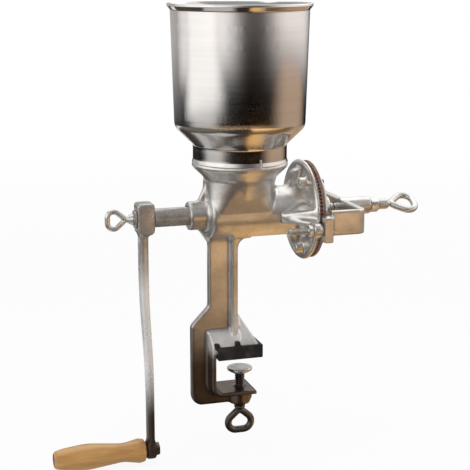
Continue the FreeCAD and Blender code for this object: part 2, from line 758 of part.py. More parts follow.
def casting_cuts():
    """Bore, funnel, plate seat and the holes of the casting."""
    bore = turned("barrel_bore", [
        (f"{BOSS_END} - 1", "0"),
        (f"{BOSS_END} - 1", "shaft_diameter / 2 + running_clearance"),
        (f"{BARREL_END} + rear_wall", "shaft_diameter / 2 + running_clearance"),
        (f"{BARREL_END} + rear_wall", BORE_RADIUS),
        (PLATE_SEAT, BORE_RADIUS),
        (PLATE_SEAT, "plate_diameter / 2 + plate_side_clearance"),
        (f"{FLANGE_FACE} + 1", "plate_diameter / 2 + plate_side_clearance"),
        (f"{FLANGE_FACE} + 1", "0"),
    ], z="axis_height")
    neck_bore = "(throat_neck_diameter / 2 - throat_wall)"
    neck_top = "(throat_height - throat_neck_drop)"
    spigot_bore = f"({SPIGOT_RADIUS} - spigot_wall)"
    funnel = turned("funnel_bore", [
        ("0", "0"),
        ("funnel_outlet_diameter / 2", "0"),
        ("funnel_outlet_diameter / 2", "6"),
        (neck_bore, f"{neck_top} - throat_neck_length", "throat_neck_radius"),
        (neck_bore, f"{neck_top} + 2", "throat_neck_radius / 2"),
        (spigot_bore, "throat_height", "4"),
        (spigot_bore, "throat_height + spigot_height + 1"),
        ("0", "throat_height + spigot_height + 1"),
    ], "Z", z="axis_height")
    screw_hole = rod("clamp_screw_hole", "clamp_screw_diameter + 2 * running_clearance",
                     "clamp_boss_length + 2", "0", "0", f"{CLAMP_BOSS_BOTTOM} - 1", "+Z")
    holes = [bore, funnel, screw_hole]
    for side, hand in zip(SIDES, ("near", "far")):
        holes.append(rod(f"{hand}_ear_hole", "stud_diameter + 2 * running_clearance", "ear_thickness + 2",
                         f"{EAR_BACK} - 1", f"{side} * ear_reach", STUD_HEIGHT))
    for number, angle in enumerate(BOSS_ANGLES):
        across, up = on_circle(angle)
        holes.append(rod(f"flange_tapping_{number}", "plate_screw_diameter + 2 * pin_clearance",
                         "screw_boss_length + flange_thickness",
                         "flange_back - screw_boss_length - 1", across, up))
    return holes


def body_casting():
    """The mill's one-piece cast frame."""
    boss = rod("clamp_screw_boss", "clamp_boss_diameter", "clamp_boss_length",
               "0", "0", CLAMP_BOSS_BOTTOM, "+Z")
    solids = [barrel_and_flange(), throat(), throat_skirt(), saddle_web(), hopper_lug(), post_and_clamp_web(),
              boss]
    for pieces in (clamp_flanges(), upper_jaw(), flange_ears_and_fins(), rear_fins(), screw_bosses()):
        solids.extend(pieces)
    return cut("body_casting", joined("casting_blank", solids), casting_cuts())


def jaw_pad():
    """Rubber tray under the upper jaw, with a lip round three of its edges."""
    half = "upper_jaw_width / 2"
    back = "-mouth_depth"
    lip = "pad_lip_thickness"
    tray = block("pad_blank", (back, f"-{half} - {lip}", "0"),
                 (f"upper_jaw_reach + {lip}", f"{half} + {lip}", "pad_floor + pad_lip_height"))
    jaw_room = block("pad_jaw_room", (f"{back} - 1", f"-{half}", "pad_floor"),
                     ("upper_jaw_reach", half, "pad_floor + pad_lip_height + 1"))
    return cut("jaw_pad", tray, [jaw_room])


def hopper():
    """Spun sheet hopper: flared lip, tapered bowl, shoulder and collar."""
    lip = "hopper_lip_diameter / 2"
    top = "hopper_top_diameter / 2"
    waist = "hopper_waist_diameter / 2"
    collar = "hopper_collar_diameter / 2"
    lip_root = "(hopper_height - hopper_lip_drop)"
    inner_shift = "hopper_wall * 0.42"
    shell = turned("hopper_shell", [
        (f"{collar} + 1", "hopper_clearance"),
        (collar, "3.5", "2"),
        (collar, "hopper_collar_height", "2"),
        (waist, "hopper_shoulder_height", "hopper_shoulder_radius"),
        (top, lip_root, "2"),
        (lip, "hopper_height - hopper_lip_width", "0.8"),
        (lip, "hopper_height", "0.8"),
        (f"{lip} - hopper_lip_width", "hopper_height", "0.6"),
        (f"{top} - hopper_wall", f"{lip_root} + {inner_shift}", "2"),
        (f"{waist} - hopper_wall", f"hopper_shoulder_height + {inner_shift}",
         "hopper_shoulder_radius - hopper_wall"),
        (f"{collar} - hopper_wall", f"hopper_collar_height + {inner_shift}", "1"),
        (f"{collar} - hopper_wall", "hopper_clearance"),
    ], "Z", z=LIP_TOP)
    room = "hopper_clearance"
    slot = block("hopper_slot", (f"{SPIGOT_RADIUS} - 2", f"-lug_width / 2 - {room}", f"{LIP_TOP} - 1"),
                 (f"{collar} + 5", f"lug_width / 2 + {room}", f"{LIP_TOP} + lug_height + {room}"))
    return cut("hopper", shell, [turned_about_z("hopper_slot_turned", slot)])


def grinding_plate(name, back, face_side):
    """A ring with radial grooves in one face that run out at its rim.

    face_side is +1 where the grooves face +X and -1 where they face -X.
    """
    body = turned(f"{name}_ring", [
        ("0", "plate_bore / 2"),
        ("0", "plate_diameter / 2"),
        ("plate_thickness", "plate_diameter / 2"),
        ("plate_thickness", "plate_bore / 2"),
    ], x=back, z="axis_height")
    face = "plate_thickness" if face_side > 0 else "0"
    floor = "plate_thickness - groove_depth" if face_side > 0 else "groove_depth"
    beyond = "plate_thickness + groove_depth" if face_side > 0 else "-groove_depth"
    sketch = new_sketch(body, f"{name}_groove", "XY", "groove_start_radius")
    outline(sketch, [(floor, "0"), (beyond, "groove_width"), (beyond, "-groove_width")])
    doc.recompute()
    groove = body.newObject("PartDesign::Pocket", f"{name}_groove_cut")
    groove.Profile = sketch
    bind(groove, Length="plate_diameter / 2 - groove_start_radius + 2")
    groove.Reversed = True
    doc.recompute()
    ring = body.newObject("PartDesign::PolarPattern", f"{name}_grooves")
    ring.Originals = [groove]
    planes = {feature.Role: feature for feature in body.Origin.OriginFeatures}
    ring.Axis = (planes["X_Axis"], [""])
    ring.Angle = FULL_TURN
    bind(ring, Occurrences="groove_count")
    body.Tip = ring
    return body


def countersunk(name, across, up, head_face, point, outward):
    """A countersunk screw along X: its head lies in head_face, and outward is the head's side."""
    radius = "plate_screw_diameter / 2"
    head = "plate_screw_head / 2"
    length = f"({outward}) * (({head_face}) - ({point}))"
    slope = f"({length} - plate_screw_head / 2 + plate_screw_diameter / 2)"
    turn = ALONG["+X"] if outward > 0 else ALONG["-X"]
    return turned(name, [("0", "0"), (radius, "0", "0.4"), (radius, slope), (head, length), ("0", length)],
                  "Z", point, across, up, turn)


def plates_and_screws():
    """The fixed and the turning plate, each held by three countersunk screws."""
    made = []
    boss_floor = "flange_back - screw_boss_length + 2"
    carrier_front = f"{CARRIER_FACE} + carrier_thickness + 1.5"
    for kind, back, side, face, point in (
            ("stationary", PLATE_SEAT, 1, FIXED_FACE, boss_floor),
            ("rotating", MOVING_FACE, -1, MOVING_FACE, carrier_front)):
        screws = []
        sinks = []
        for number, angle in enumerate(BOSS_ANGLES):
            across, up = on_circle(angle)
            head_face = f"{face} - {side} * plate_screw_sink"
            screws.append(countersunk(f"{kind}_screw_{number}", across, up, head_face, point, side))
            clear = f"{kind}_screw_room_{number}"
            room = rod(clear, "plate_screw_diameter + 2 * pin_clearance", "plate_thickness + 2",
                       f"{back} - 1", across, up)
            depth = "(plate_screw_head - plate_screw_diameter) / 2"
            cone = doc.addObject("Part::Cone", f"{clear}_cone")
            low = "plate_screw_diameter / 2 + pin_clearance"
            high = "plate_screw_head / 2 + pin_clearance"
            bind(cone, Radius1=low, Radius2=high, Height=depth)
            place(cone, f"{head_face} - {side} * {depth}", across, up, ALONG["+X" if side > 0 else "-X"])
            mouth = rod(f"{clear}_mouth", "plate_screw_head + 2 * pin_clearance", "plate_screw_sink + 1",
                        head_face if side > 0 else f"{head_face} - plate_screw_sink - 1", across, up)
            sinks.extend([room, cone, mouth])
        plate = grinding_plate(kind, back, side)
        made.append(cut(f"{kind}_plate", plate, sinks))
        made.append(group(f"{kind}_plate_screws", screws))
    return made


def drive_shaft():
    """Shaft: squared crank end, journal, core under the worm, and the thrust ball's pocket."""
    core = "shaft_core_diameter / 2"
    journal = "shaft_diameter / 2"
    step = f"({BARREL_END} + rear_wall + 1)"
    blank = turned("shaft_blank", [
        (SHAFT_SHOULDER, "0"),
        (SHAFT_SHOULDER, journal, "0.6"),
        (step, journal, "0.4"),
        (step, core),
        (SHAFT_FRONT, core, "0.8"),
        (SHAFT_FRONT, "0"),
    ], z="axis_height")
    flat = "shaft_square / 2"
    square = block("shaft_square_end", (f"{CRANK_OUTER} + 1", f"-{flat}", f"axis_height - {flat}"),
                   (f"{SHAFT_SHOULDER} + 1", flat, f"axis_height + {flat}"))
    pocket = rod("ball_pocket", "ball_diameter + 2 * running_clearance", "ball_seat_depth + 1",
                 f"{SHAFT_FRONT} - ball_seat_depth", "0", "axis_height")
    tapping = rod("crank_tapping", "crank_screw_diameter + 2 * running_clearance", "crank_screw_depth + 2",
                  CRANK_OUTER, "0", "axis_height")
    tools = [pocket, tapping] + [pin_hole(f"shaft_{name}", place_x, size, "shaft_diameter")
                                 for name, place_x, size in shaft_pins()]
    return cut("drive_shaft", joined("shaft_whole", [blank, square]), tools)


def shaft_pins():
    """The two cross pins: name, place along X and diameter."""
    worm_pin = f"({BARREL_END} + rear_wall + worm_end_clearance + 8)"
    carrier_pin = f"({CARRIER_FRONT} - carrier_hub_length / 2)"
    return [("worm_pin", worm_pin, "worm_pin_diameter"), ("carrier_pin", carrier_pin, "carrier_pin_diameter")]


def pin_hole(name, place_x, size, across):
    """A cross hole for a pin, running along Z right through the shaft."""
    return rod(f"{name}_hole", f"{size} + 2 * pin_clearance", f"{across} + 10",
               place_x, "0", f"axis_height - ({across}) / 2 - 5", "+Z")


def cross_pins():
    """Pins that lock the worm and the plate carrier to the shaft."""
    made = []
    for (name, place_x, size), hub in zip(shaft_pins(), ("worm_hub_diameter", "carrier_hub_diameter - 3")):
        made.append(rod(name, size, f"{hub} - 1", place_x, "0", f"axis_height - ({hub} - 1) / 2", "+Z"))
    return made


def feed_worm():
    """Feed worm: a hub with one helical flight."""
    start = f"({BARREL_END} + rear_wall + worm_end_clearance)"
    length = f"({PLATE_SEAT} - {start})"
    body = doc.addObject("PartDesign::Body", "worm_blank")
    hub = body.newObject("PartDesign::AdditiveCylinder", "worm_hub")
    bind(hub, Radius="worm_hub_diameter / 2", Height=length)
    flight_radius = f"({BORE_RADIUS} - worm_flight_clearance)"
    sketch = new_sketch(body, "worm_flight", "XZ")
    root = "worm_hub_diameter / 2 - 1.5"
    outline(sketch, [
        (root, "1"),
        (flight_radius, "1 + worm_flight_thickness * 0.2"),
        (flight_radius, "1 + worm_flight_thickness * 0.8"),
        (root, "1 + worm_flight_thickness"),
    ])
    doc.recompute()
    planes = {feature.Role: feature for feature in body.Origin.OriginFeatures}
    helix = body.newObject("PartDesign::AdditiveHelix", "worm_helix")
    helix.Profile = sketch
    helix.ReferenceAxis = (planes["Z_Axis"], [""])
    helix.Mode = "pitch-height-angle"
    bind(helix, Pitch="worm_pitch", Height=f"{length} - worm_flight_thickness - 2")
    place(body, start, "0", "axis_height", ALONG["+X"])
    bore = rod("worm_bore", "shaft_core_diameter + 2 * pin_clearance", f"{length} + 2",
               f"{start} - 1", "0", "axis_height")
    name, place_x, size = shaft_pins()[0]
    return cut("feed_worm", body, [bore, pin_hole("worm", place_x, size, "worm_hub_diameter")])


def plate_carrier():
    """Disc and domed hub that carry the turning plate on the shaft."""
    hub = "carrier_hub_diameter / 2"
    disc_front = f"({CARRIER_FACE} + carrier_thickness)"
    blank = turned("carrier_blank", [
        (CARRIER_FACE, "shaft_core_diameter / 2 + pin_clearance"),
        (CARRIER_FACE, "carrier_diameter / 2", "1"),
        (disc_front, "carrier_diameter / 2", "1.5"),
        (f"{disc_front} + 1.5", hub, "4"),
        (CARRIER_FRONT, f"{hub} - 3", "4"),
        (CARRIER_FRONT, "shaft_core_diameter / 2 + pin_clearance"),
    ], z="axis_height")
    name, place_x, size = shaft_pins()[1]
    holes = [pin_hole("carrier", place_x, size, "carrier_hub_diameter")]
    for number, angle in enumerate(BOSS_ANGLES):
        across, up = on_circle(angle)
        holes.append(rod(f"carrier_tapping_{number}", "plate_screw_diameter + 2 * pin_clearance",
                         "carrier_thickness + 4", f"{CARRIER_FACE} - 1", across, up))
    return cut("plate_carrier", blank, holes)


def thrust_ball():
    """Steel ball between the shaft's end and the adjusting screw."""
    ball = doc.addObject("Part::Sphere", "thrust_ball")
    bind(ball, Radius="ball_diameter / 2")
    return place(ball, BALL_CENTRE, "0", "axis_height")


def yoke():
    """U-shaped yoke: two arms with lugs, a bridge and a threaded hub."""
    inner = "yoke_inner_width / 2"
    outer = f"({inner} + yoke_thickness)"
    bridge = "(yoke_front - yoke_thickness)"
    bow = padded("yoke_bow", [
        (f"{LUG_FRONT} - 1", outer),
        ("yoke_front", outer, "yoke_corner_radius"),
        ("yoke_front", f"-{outer}", "yoke_corner_radius"),
        (f"{LUG_FRONT} - 1", f"-{outer}"),
        (f"{LUG_FRONT} - 1", f"-{inner}"),
        (bridge, f"-{inner}", "yoke_corner_radius - yoke_thickness"),
        (bridge, inner, "yoke_corner_radius - yoke_thickness"),
        (f"{LUG_FRONT} - 1", inner),
    ], "XY", "-yoke_height / 2", "yoke_height", z="axis_height - yoke_drop")
    hub = rod("yoke_hub", "yoke_hub_diameter", f"{YOKE_HUB_END} - {bridge}", bridge, "0", "axis_height")
    solids = [bow, hub]
    tools = [rod("adjuster_hole", "adjuster_diameter + 2 * running_clearance",
                 f"{YOKE_HUB_END} - {bridge} + 2", f"{bridge} - 1", "0", "axis_height")]
    for side, hand in zip(SIDES, ("near", "far")):
        middle = f"({side} * ear_reach)"
        low, high = (f"{STUD_HEIGHT} {sign} yoke_lug_height / 2" for sign in "-+")
        solids.append(block(f"{hand}_lug", (LUG_BACK, f"{middle} - yoke_lug_width / 2", low),
                            (LUG_FRONT, f"{middle} + yoke_lug_width / 2", high)))
        tools.append(rod(f"{hand}_lug_hole", "stud_diameter + 2 * pin_clearance", "yoke_lug_length + 2",
                         f"{LUG_BACK} - 1", middle, STUD_HEIGHT))
    return cut("yoke", joined("yoke_blank", solids), tools)


def yoke_studs_and_nuts():
    """Shouldered studs between the yoke's lugs and the flange's ears, with nuts behind the ears."""
    studs = []
    nuts = []
    for side, hand in zip(SIDES, ("near", "far")):
        radius = "stud_diameter / 2"
        shoulder = "stud_shoulder_diameter / 2"
        middle = f"{side} * ear_reach"
        studs.append(turned(f"{hand}_stud", [
            (f"{EAR_BACK} - stud_tail", "0"),
            (f"{EAR_BACK} - stud_tail", radius, "0.8"),
            (EAR_FRONT, radius),
            (EAR_FRONT, shoulder),
            (LUG_BACK, shoulder),
            (LUG_BACK, radius),
            (LUG_FRONT, radius),
            (LUG_FRONT, "0"),
        ], y=middle, z=STUD_HEIGHT))
        blank = hex_bar(f"{hand}_nut_blank", "stud_nut_flats", "stud_nut_thickness",
                        f"{EAR_BACK} - stud_nut_thickness", middle, STUD_HEIGHT)
        hole = rod(f"{hand}_nut_hole", "stud_diameter + 2 * pin_clearance", "stud_nut_thickness + 2",
                   f"{EAR_BACK} - stud_nut_thickness - 1", middle, STUD_HEIGHT)
        nuts.append(cut(f"{hand}_nut", blank, [hole]))
    return [group("yoke_studs", studs), group("yoke_nuts", nuts)]


def adjusting_screw():
    """Screw that sets the gap between the plates, and its lock nut."""
    radius = "adjuster_diameter / 2"
    collar = "adjuster_collar_diameter / 2"
    tip = f"({ADJUSTER_EYE} - {ADJUSTER_TIP})"
    turn = ALONG["-X"].multiply(Rotation(Vector(0, 0, 1), value("adjuster_eye_roll")))
    screw = eye_screw("adjusting_screw", [
        ("0", "-adjuster_eye_rod * 0.6"),
        ("adjuster_eye_rod * 0.45", "-adjuster_eye_rod * 0.6"),
        (collar, "0", "1"),
        (collar, "adjuster_collar_length", "0.8"),
        (radius, "adjuster_collar_length"),
        (radius, tip, "1"),
        ("0", tip),
    ], "adjuster_eye", x=ADJUSTER_EYE, z="axis_height", turn=turn)
    blank = hex_bar("lock_nut_blank", "lock_nut_flats", "lock_nut_thickness",
                    LOCK_NUT_START, "0", "axis_height")
    hole = rod("lock_nut_hole", "adjuster_diameter + 2 * running_clearance", "lock_nut_thickness + 2",
               f"{LOCK_NUT_START} - 1", "0", "axis_height")
    return [screw, cut("lock_nut", blank, [hole])]


def crank_arm():
    """Crank: squared hub, a flat arm with a gentle set towards the mill, and the grip's boss."""
    half = "crank_hub_height / 2"
    hub = upright("crank_hub", [
        (CRANK_OUTER, f"axis_height + {half}", "3"),
        (CRANK_OUTER, f"axis_height - {half}", "5"),
        (SHAFT_SHOULDER, f"axis_height - {half}", "5"),
        (SHAFT_SHOULDER, f"axis_height + {half}", "3"),
    ], "crank_hub_depth")
    edge = "crank_arm_thickness / 2"
    foot_edge = "crank_arm_foot_thickness / 2"
    bend_top = "(axis_height - crank_bend_start)"
    bend_foot = f"({bend_top} - crank_bend_length)"
    arm = upright("crank_bar", [
        (f"{CRANK_LINE} - {edge}", "axis_height"),
        (f"{CRANK_LINE} - {edge}", bend_top, "crank_bend_radius"),
        (f"{GRIP_ARM} - {foot_edge}", bend_foot, "crank_bend_radius"),
        (f"{GRIP_ARM} - {foot_edge}", GRIP_HEIGHT),
        (f"{GRIP_ARM} + {foot_edge}", GRIP_HEIGHT),
        (f"{GRIP_ARM} + {foot_edge}", bend_foot, "crank_bend_radius"),
        (f"{CRANK_LINE} + {edge}", bend_top, "crank_bend_radius"),
        (f"{CRANK_LINE} + {edge}", "axis_height"),
    ], "crank_arm_width")
    boss = rod("crank_boss", "crank_boss_diameter", "crank_boss_length", GRIP_BOSS_OUTER, "0", GRIP_HEIGHT)
    flat = "(shaft_square / 2 + pin_clearance)"
    square = block("crank_square_hole", (f"{CRANK_OUTER} - 1", f"-{flat}", f"axis_height - {flat}"),
                   (f"{SHAFT_SHOULDER} + 1", flat, f"axis_height + {flat}"))
    bolt_hole = rod("crank_bolt_hole", "grip_bolt_diameter + 2 * pin_clearance", "crank_boss_length + 2",
                    f"{GRIP_BOSS_OUTER} - 1", "0", GRIP_HEIGHT)
    return cut("crank_arm", joined("crank_blank", [hub, arm, boss]), [square, bolt_hole])


def crank_screw():
    """Eye screw in the shaft's end that holds the crank on, and its washer."""
    radius = "crank_screw_diameter / 2"
    neck = "crank_screw_diameter / 2 + 1.5"
    tip = "(crank_screw_neck_length + washer_thickness + crank_screw_depth)"
    screw = eye_screw("crank_screw", [
        ("0", "-crank_eye_rod * 0.6"),
        ("crank_eye_rod * 0.45", "-crank_eye_rod * 0.6"),
        (neck, "crank_screw_neck_length - 2", "1"),
        (neck, "crank_screw_neck_length"),
        (radius, "crank_screw_neck_length"),
        (radius, tip, "1"),
        ("0", tip),
    ], "crank_eye", x=f"{WASHER_OUTER} - crank_screw_neck_length", z="axis_height", turn=ALONG["+X"])
    washer = cut("crank_screw_washer",
                 rod("washer_blank", "washer_diameter", "washer_thickness", WASHER_OUTER, "0", "axis_height"),
                 [rod("washer_hole", "crank_screw_diameter + 2 * running_clearance", "washer_thickness + 2",
                      f"{WASHER_OUTER} - 1", "0", "axis_height")])
    return [screw, washer]


def grip_and_bolt():
    """Turned wooden grip on its bolt, with a washer and a nut at the crank's boss."""
    head_room = f"({GRIP_OUTER} + grip_bolt_head_length + 1)"
    bolt_radius = "grip_bolt_diameter / 2"
    bore = "(grip_bolt_diameter / 2 + running_clearance)"
    head = "grip_bolt_head_diameter / 2"
    head_bore = f"({head} + 0.3)"
    widest = f"({GRIP_OUTER} + grip_length * 0.36)"
    waist = f"({GRIP_OUTER} + grip_length * 0.76)"
    grip = turned("grip", [
        (GRIP_OUTER, head_bore),
        (GRIP_OUTER, "grip_diameter * 0.28", "1.5"),
        (f"{GRIP_OUTER} + 2", "grip_diameter * 0.36", "5"),
        (f"{GRIP_OUTER} + 10", "grip_diameter * 0.43", "18"),
        (widest, "grip_diameter / 2 + 0.6", "55"),
        (waist, "grip_waist_diameter / 2 - 0.4", "35"),
        (f"{GRIP_INNER} - 6", "grip_inner_diameter / 2", "3"),
        (GRIP_INNER, "grip_inner_diameter / 2 - 1", "2"),
        (GRIP_INNER, bore),
        (head_room, bore),
        (head_room, head_bore),
    ], z=GRIP_HEIGHT)
    boss_inner = f"({GRIP_BOSS_OUTER} + crank_boss_length)"
    bolt = turned("grip_bolt", [
        (f"{GRIP_OUTER} + 0.6", "0"),
        (f"{GRIP_OUTER} + 0.6", head, "1.5"),
        (f"{head_room} - 0.3", head),
        (f"{head_room} - 0.3", bolt_radius),
        (f"{boss_inner} + grip_nut_thickness + 0.6", bolt_radius, "0.8"),
        (f"{boss_inner} + grip_nut_thickness + 0.6", "0"),
    ], z=GRIP_HEIGHT)
    washer_outer = f"({GRIP_BOSS_OUTER} - grip_washer_thickness)"
    hole = "grip_bolt_diameter + 2 * pin_clearance"
    washer = cut("grip_washer",
                 rod("grip_washer_blank", "grip_washer_diameter", "grip_washer_thickness",
                     washer_outer, "0", GRIP_HEIGHT),
                 [rod("grip_washer_hole", hole, "grip_washer_thickness + 2",
                      f"{washer_outer} - 1", "0", GRIP_HEIGHT)])
    nut = cut("grip_nut",
              hex_bar("grip_nut_blank", "grip_nut_flats", "grip_nut_thickness", boss_inner, "0", GRIP_HEIGHT),
              [rod("grip_nut_hole", hole, "grip_nut_thickness + 2", f"{boss_inner} - 1", "0", GRIP_HEIGHT)])
    return [grip, bolt, washer, nut]


def clamp_screw_and_pad():
    """Clamp screw with its eye, and the swivel pad on its tip."""
    radius = "clamp_screw_diameter / 2"
    neck = "clamp_neck_diameter / 2"
    pin = "swivel_pin_diameter / 2"
    pad_under = "(swivel_pad_top - swivel_pad_thickness)"
    shank_top = f"({pad_under} - {CLAMP_EYE} - running_clearance)"
    screw = eye_screw("clamp_screw", [
        ("0", "-clamp_eye_rod * 0.6"),
        ("clamp_eye_rod * 0.5", "-clamp_eye_rod * 0.6"),
        (neck, "-clamp_neck_length / 2", "1"),
        (neck, "0"),
        (radius, "0"),
        (radius, shank_top),
        (pin, shank_top),
        (pin, f"{shank_top} + swivel_pin_length", "0.5"),
        ("0", f"{shank_top} + swivel_pin_length"),
    ], "clamp_eye", z=CLAMP_EYE)
    pad_radius = "swivel_pad_diameter / 2"
    pocket = f"({pin} + running_clearance)"
    pad = turned("clamp_swivel_pad", [
        (pocket, pad_under),
        (f"{pad_radius} - 4", pad_under, "1"),
        (pad_radius, f"{pad_under} + swivel_pad_thickness * 0.5", "1"),
        (pad_radius, "swivel_pad_top", "0.6"),
        ("0", "swivel_pad_top"),
        ("0", f"{pad_under} + swivel_pin_length + running_clearance"),
        (pocket, f"{pad_under} + swivel_pin_length + running_clearance"),
    ], "Z")
    return [screw, pad]


def all_pieces():
    """Every sub-part of the mill, in the order of its assembly."""
    pieces = [body_casting(), jaw_pad(), hopper(), drive_shaft(), feed_worm()]
    pieces.extend(cross_pins())
    pieces.extend(plates_and_screws())
    pieces.extend([plate_carrier(), thrust_ball(), yoke()])
    pieces.extend(yoke_studs_and_nuts())
    pieces.extend(adjusting_screw())
    pieces.append(crank_arm())
    pieces.extend(crank_screw())
    pieces.extend(grip_and_bolt())
    pieces.extend(clamp_screw_and_pad())
    return pieces


def check(pieces):
    """Stop if any object failed, or any sub-part's shape is empty or not valid."""
    failed = [item.Name for item in doc.Objects if {"Invalid", "Error"} & set(item.State)]
    if failed:
        raise RuntimeError(f"failed objects: {failed}")
    for piece in pieces:
        shape = piece.Shape
        if shape.isNull() or not shape.isValid() or not shape.Solids:
            raise RuntimeError(f"bad shape: {piece.Label}")


def main():
    """Build the mill and write one file for each sub-part."""
    pieces = all_pieces()
    doc.recompute()
    check(pieces)
    os.makedirs("parts", exist_ok=True)
    for piece in pieces:
        piece.Shape.exportStep(f"parts/{piece.Label}.step")
        print(piece.Label, len(piece.Shape.Solids), "solids", round(piece.Shape.Volume, 1), "mm3")


main()
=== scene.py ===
"""Dresses the hand crank grain mill: tinned castings, spun hopper, steel fittings, wood and rubber."""

import json
import logging
import math
from abc import ABC, abstractmethod
from collections.abc import Sequence
from dataclasses import dataclass
from enum import Enum
from typing import Any

import bmesh
import bpy
from mathutils import Matrix, Vector

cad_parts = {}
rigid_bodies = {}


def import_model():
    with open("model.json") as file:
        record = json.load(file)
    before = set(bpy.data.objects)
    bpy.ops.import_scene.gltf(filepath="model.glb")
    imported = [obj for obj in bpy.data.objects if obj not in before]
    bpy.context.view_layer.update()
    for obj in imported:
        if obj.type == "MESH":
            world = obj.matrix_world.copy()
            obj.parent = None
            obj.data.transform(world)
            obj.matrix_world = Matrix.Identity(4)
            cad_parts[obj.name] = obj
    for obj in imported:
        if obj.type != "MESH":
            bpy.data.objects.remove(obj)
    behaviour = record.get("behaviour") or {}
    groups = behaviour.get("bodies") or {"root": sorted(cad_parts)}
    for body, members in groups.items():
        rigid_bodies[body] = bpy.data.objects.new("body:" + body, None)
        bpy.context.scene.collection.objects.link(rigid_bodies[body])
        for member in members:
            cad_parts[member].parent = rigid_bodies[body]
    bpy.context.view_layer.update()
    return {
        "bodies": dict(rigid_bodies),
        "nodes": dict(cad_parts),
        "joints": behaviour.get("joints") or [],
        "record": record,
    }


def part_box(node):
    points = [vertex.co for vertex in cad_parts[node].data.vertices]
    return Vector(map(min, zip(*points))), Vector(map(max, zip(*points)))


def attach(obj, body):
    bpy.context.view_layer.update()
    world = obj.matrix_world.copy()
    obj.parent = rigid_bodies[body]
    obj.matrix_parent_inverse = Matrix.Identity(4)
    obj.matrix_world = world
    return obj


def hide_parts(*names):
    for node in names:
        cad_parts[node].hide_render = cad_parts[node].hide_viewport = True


LOG = logging.getLogger("grain_mill")
MM = 0.001
MERGE = 2e-6
TOUCH = 1e-7
SOFT_CREASE_DEG = 80.0

Colour = tuple[float, float, float]
Point = tuple[float, float, float]
Pair = tuple[float, float]
Shape = bmesh.types.BMesh
Socket = bpy.types.NodeSocket
Material = bpy.types.Material


class Coat(Enum):
    """Finishes of the mill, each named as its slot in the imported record."""

    CASTING = "tinned_casting"
    FITTING = "tinned_fitting"
    WORM = "tinned_worm"
    RUBBER = "black_rubber"
    SPUN = "spun_steel"
    PLATE = "plate_iron"
    PLAIN = "plain_steel"
    BRIGHT = "bright_steel"
    DARK = "dark_steel"
    WOOD = "pale_wood"


class Body(Enum):
    """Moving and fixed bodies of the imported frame."""

    FRAME = "frame"
    HOPPER = "hopper"
    ROTOR = "rotor"
    GRIP = "grip"
    ADJUSTER = "adjusting_screw"
    LOCK_NUT = "lock_nut"
    CRANK_SCREW = "crank_screw"
    CLAMP_SCREW = "clamp_screw"


class Axis(Enum):
    """Axes that pieces are turned about, each with the direction a profile stands out from it."""

    BARREL = ((1.0, 0.0, 0.0), (0.0, 0.0, 1.0))
    UPRIGHT = ((0.0, 0.0, 1.0), (1.0, 0.0, 0.0))

    @property
    def along(self) -> Vector:
        """The axis itself."""
        return Vector(self.value[0])

    @property
    def out(self) -> Vector:
        """The direction a profile is drawn in, square to the axis."""
        return Vector(self.value[1])


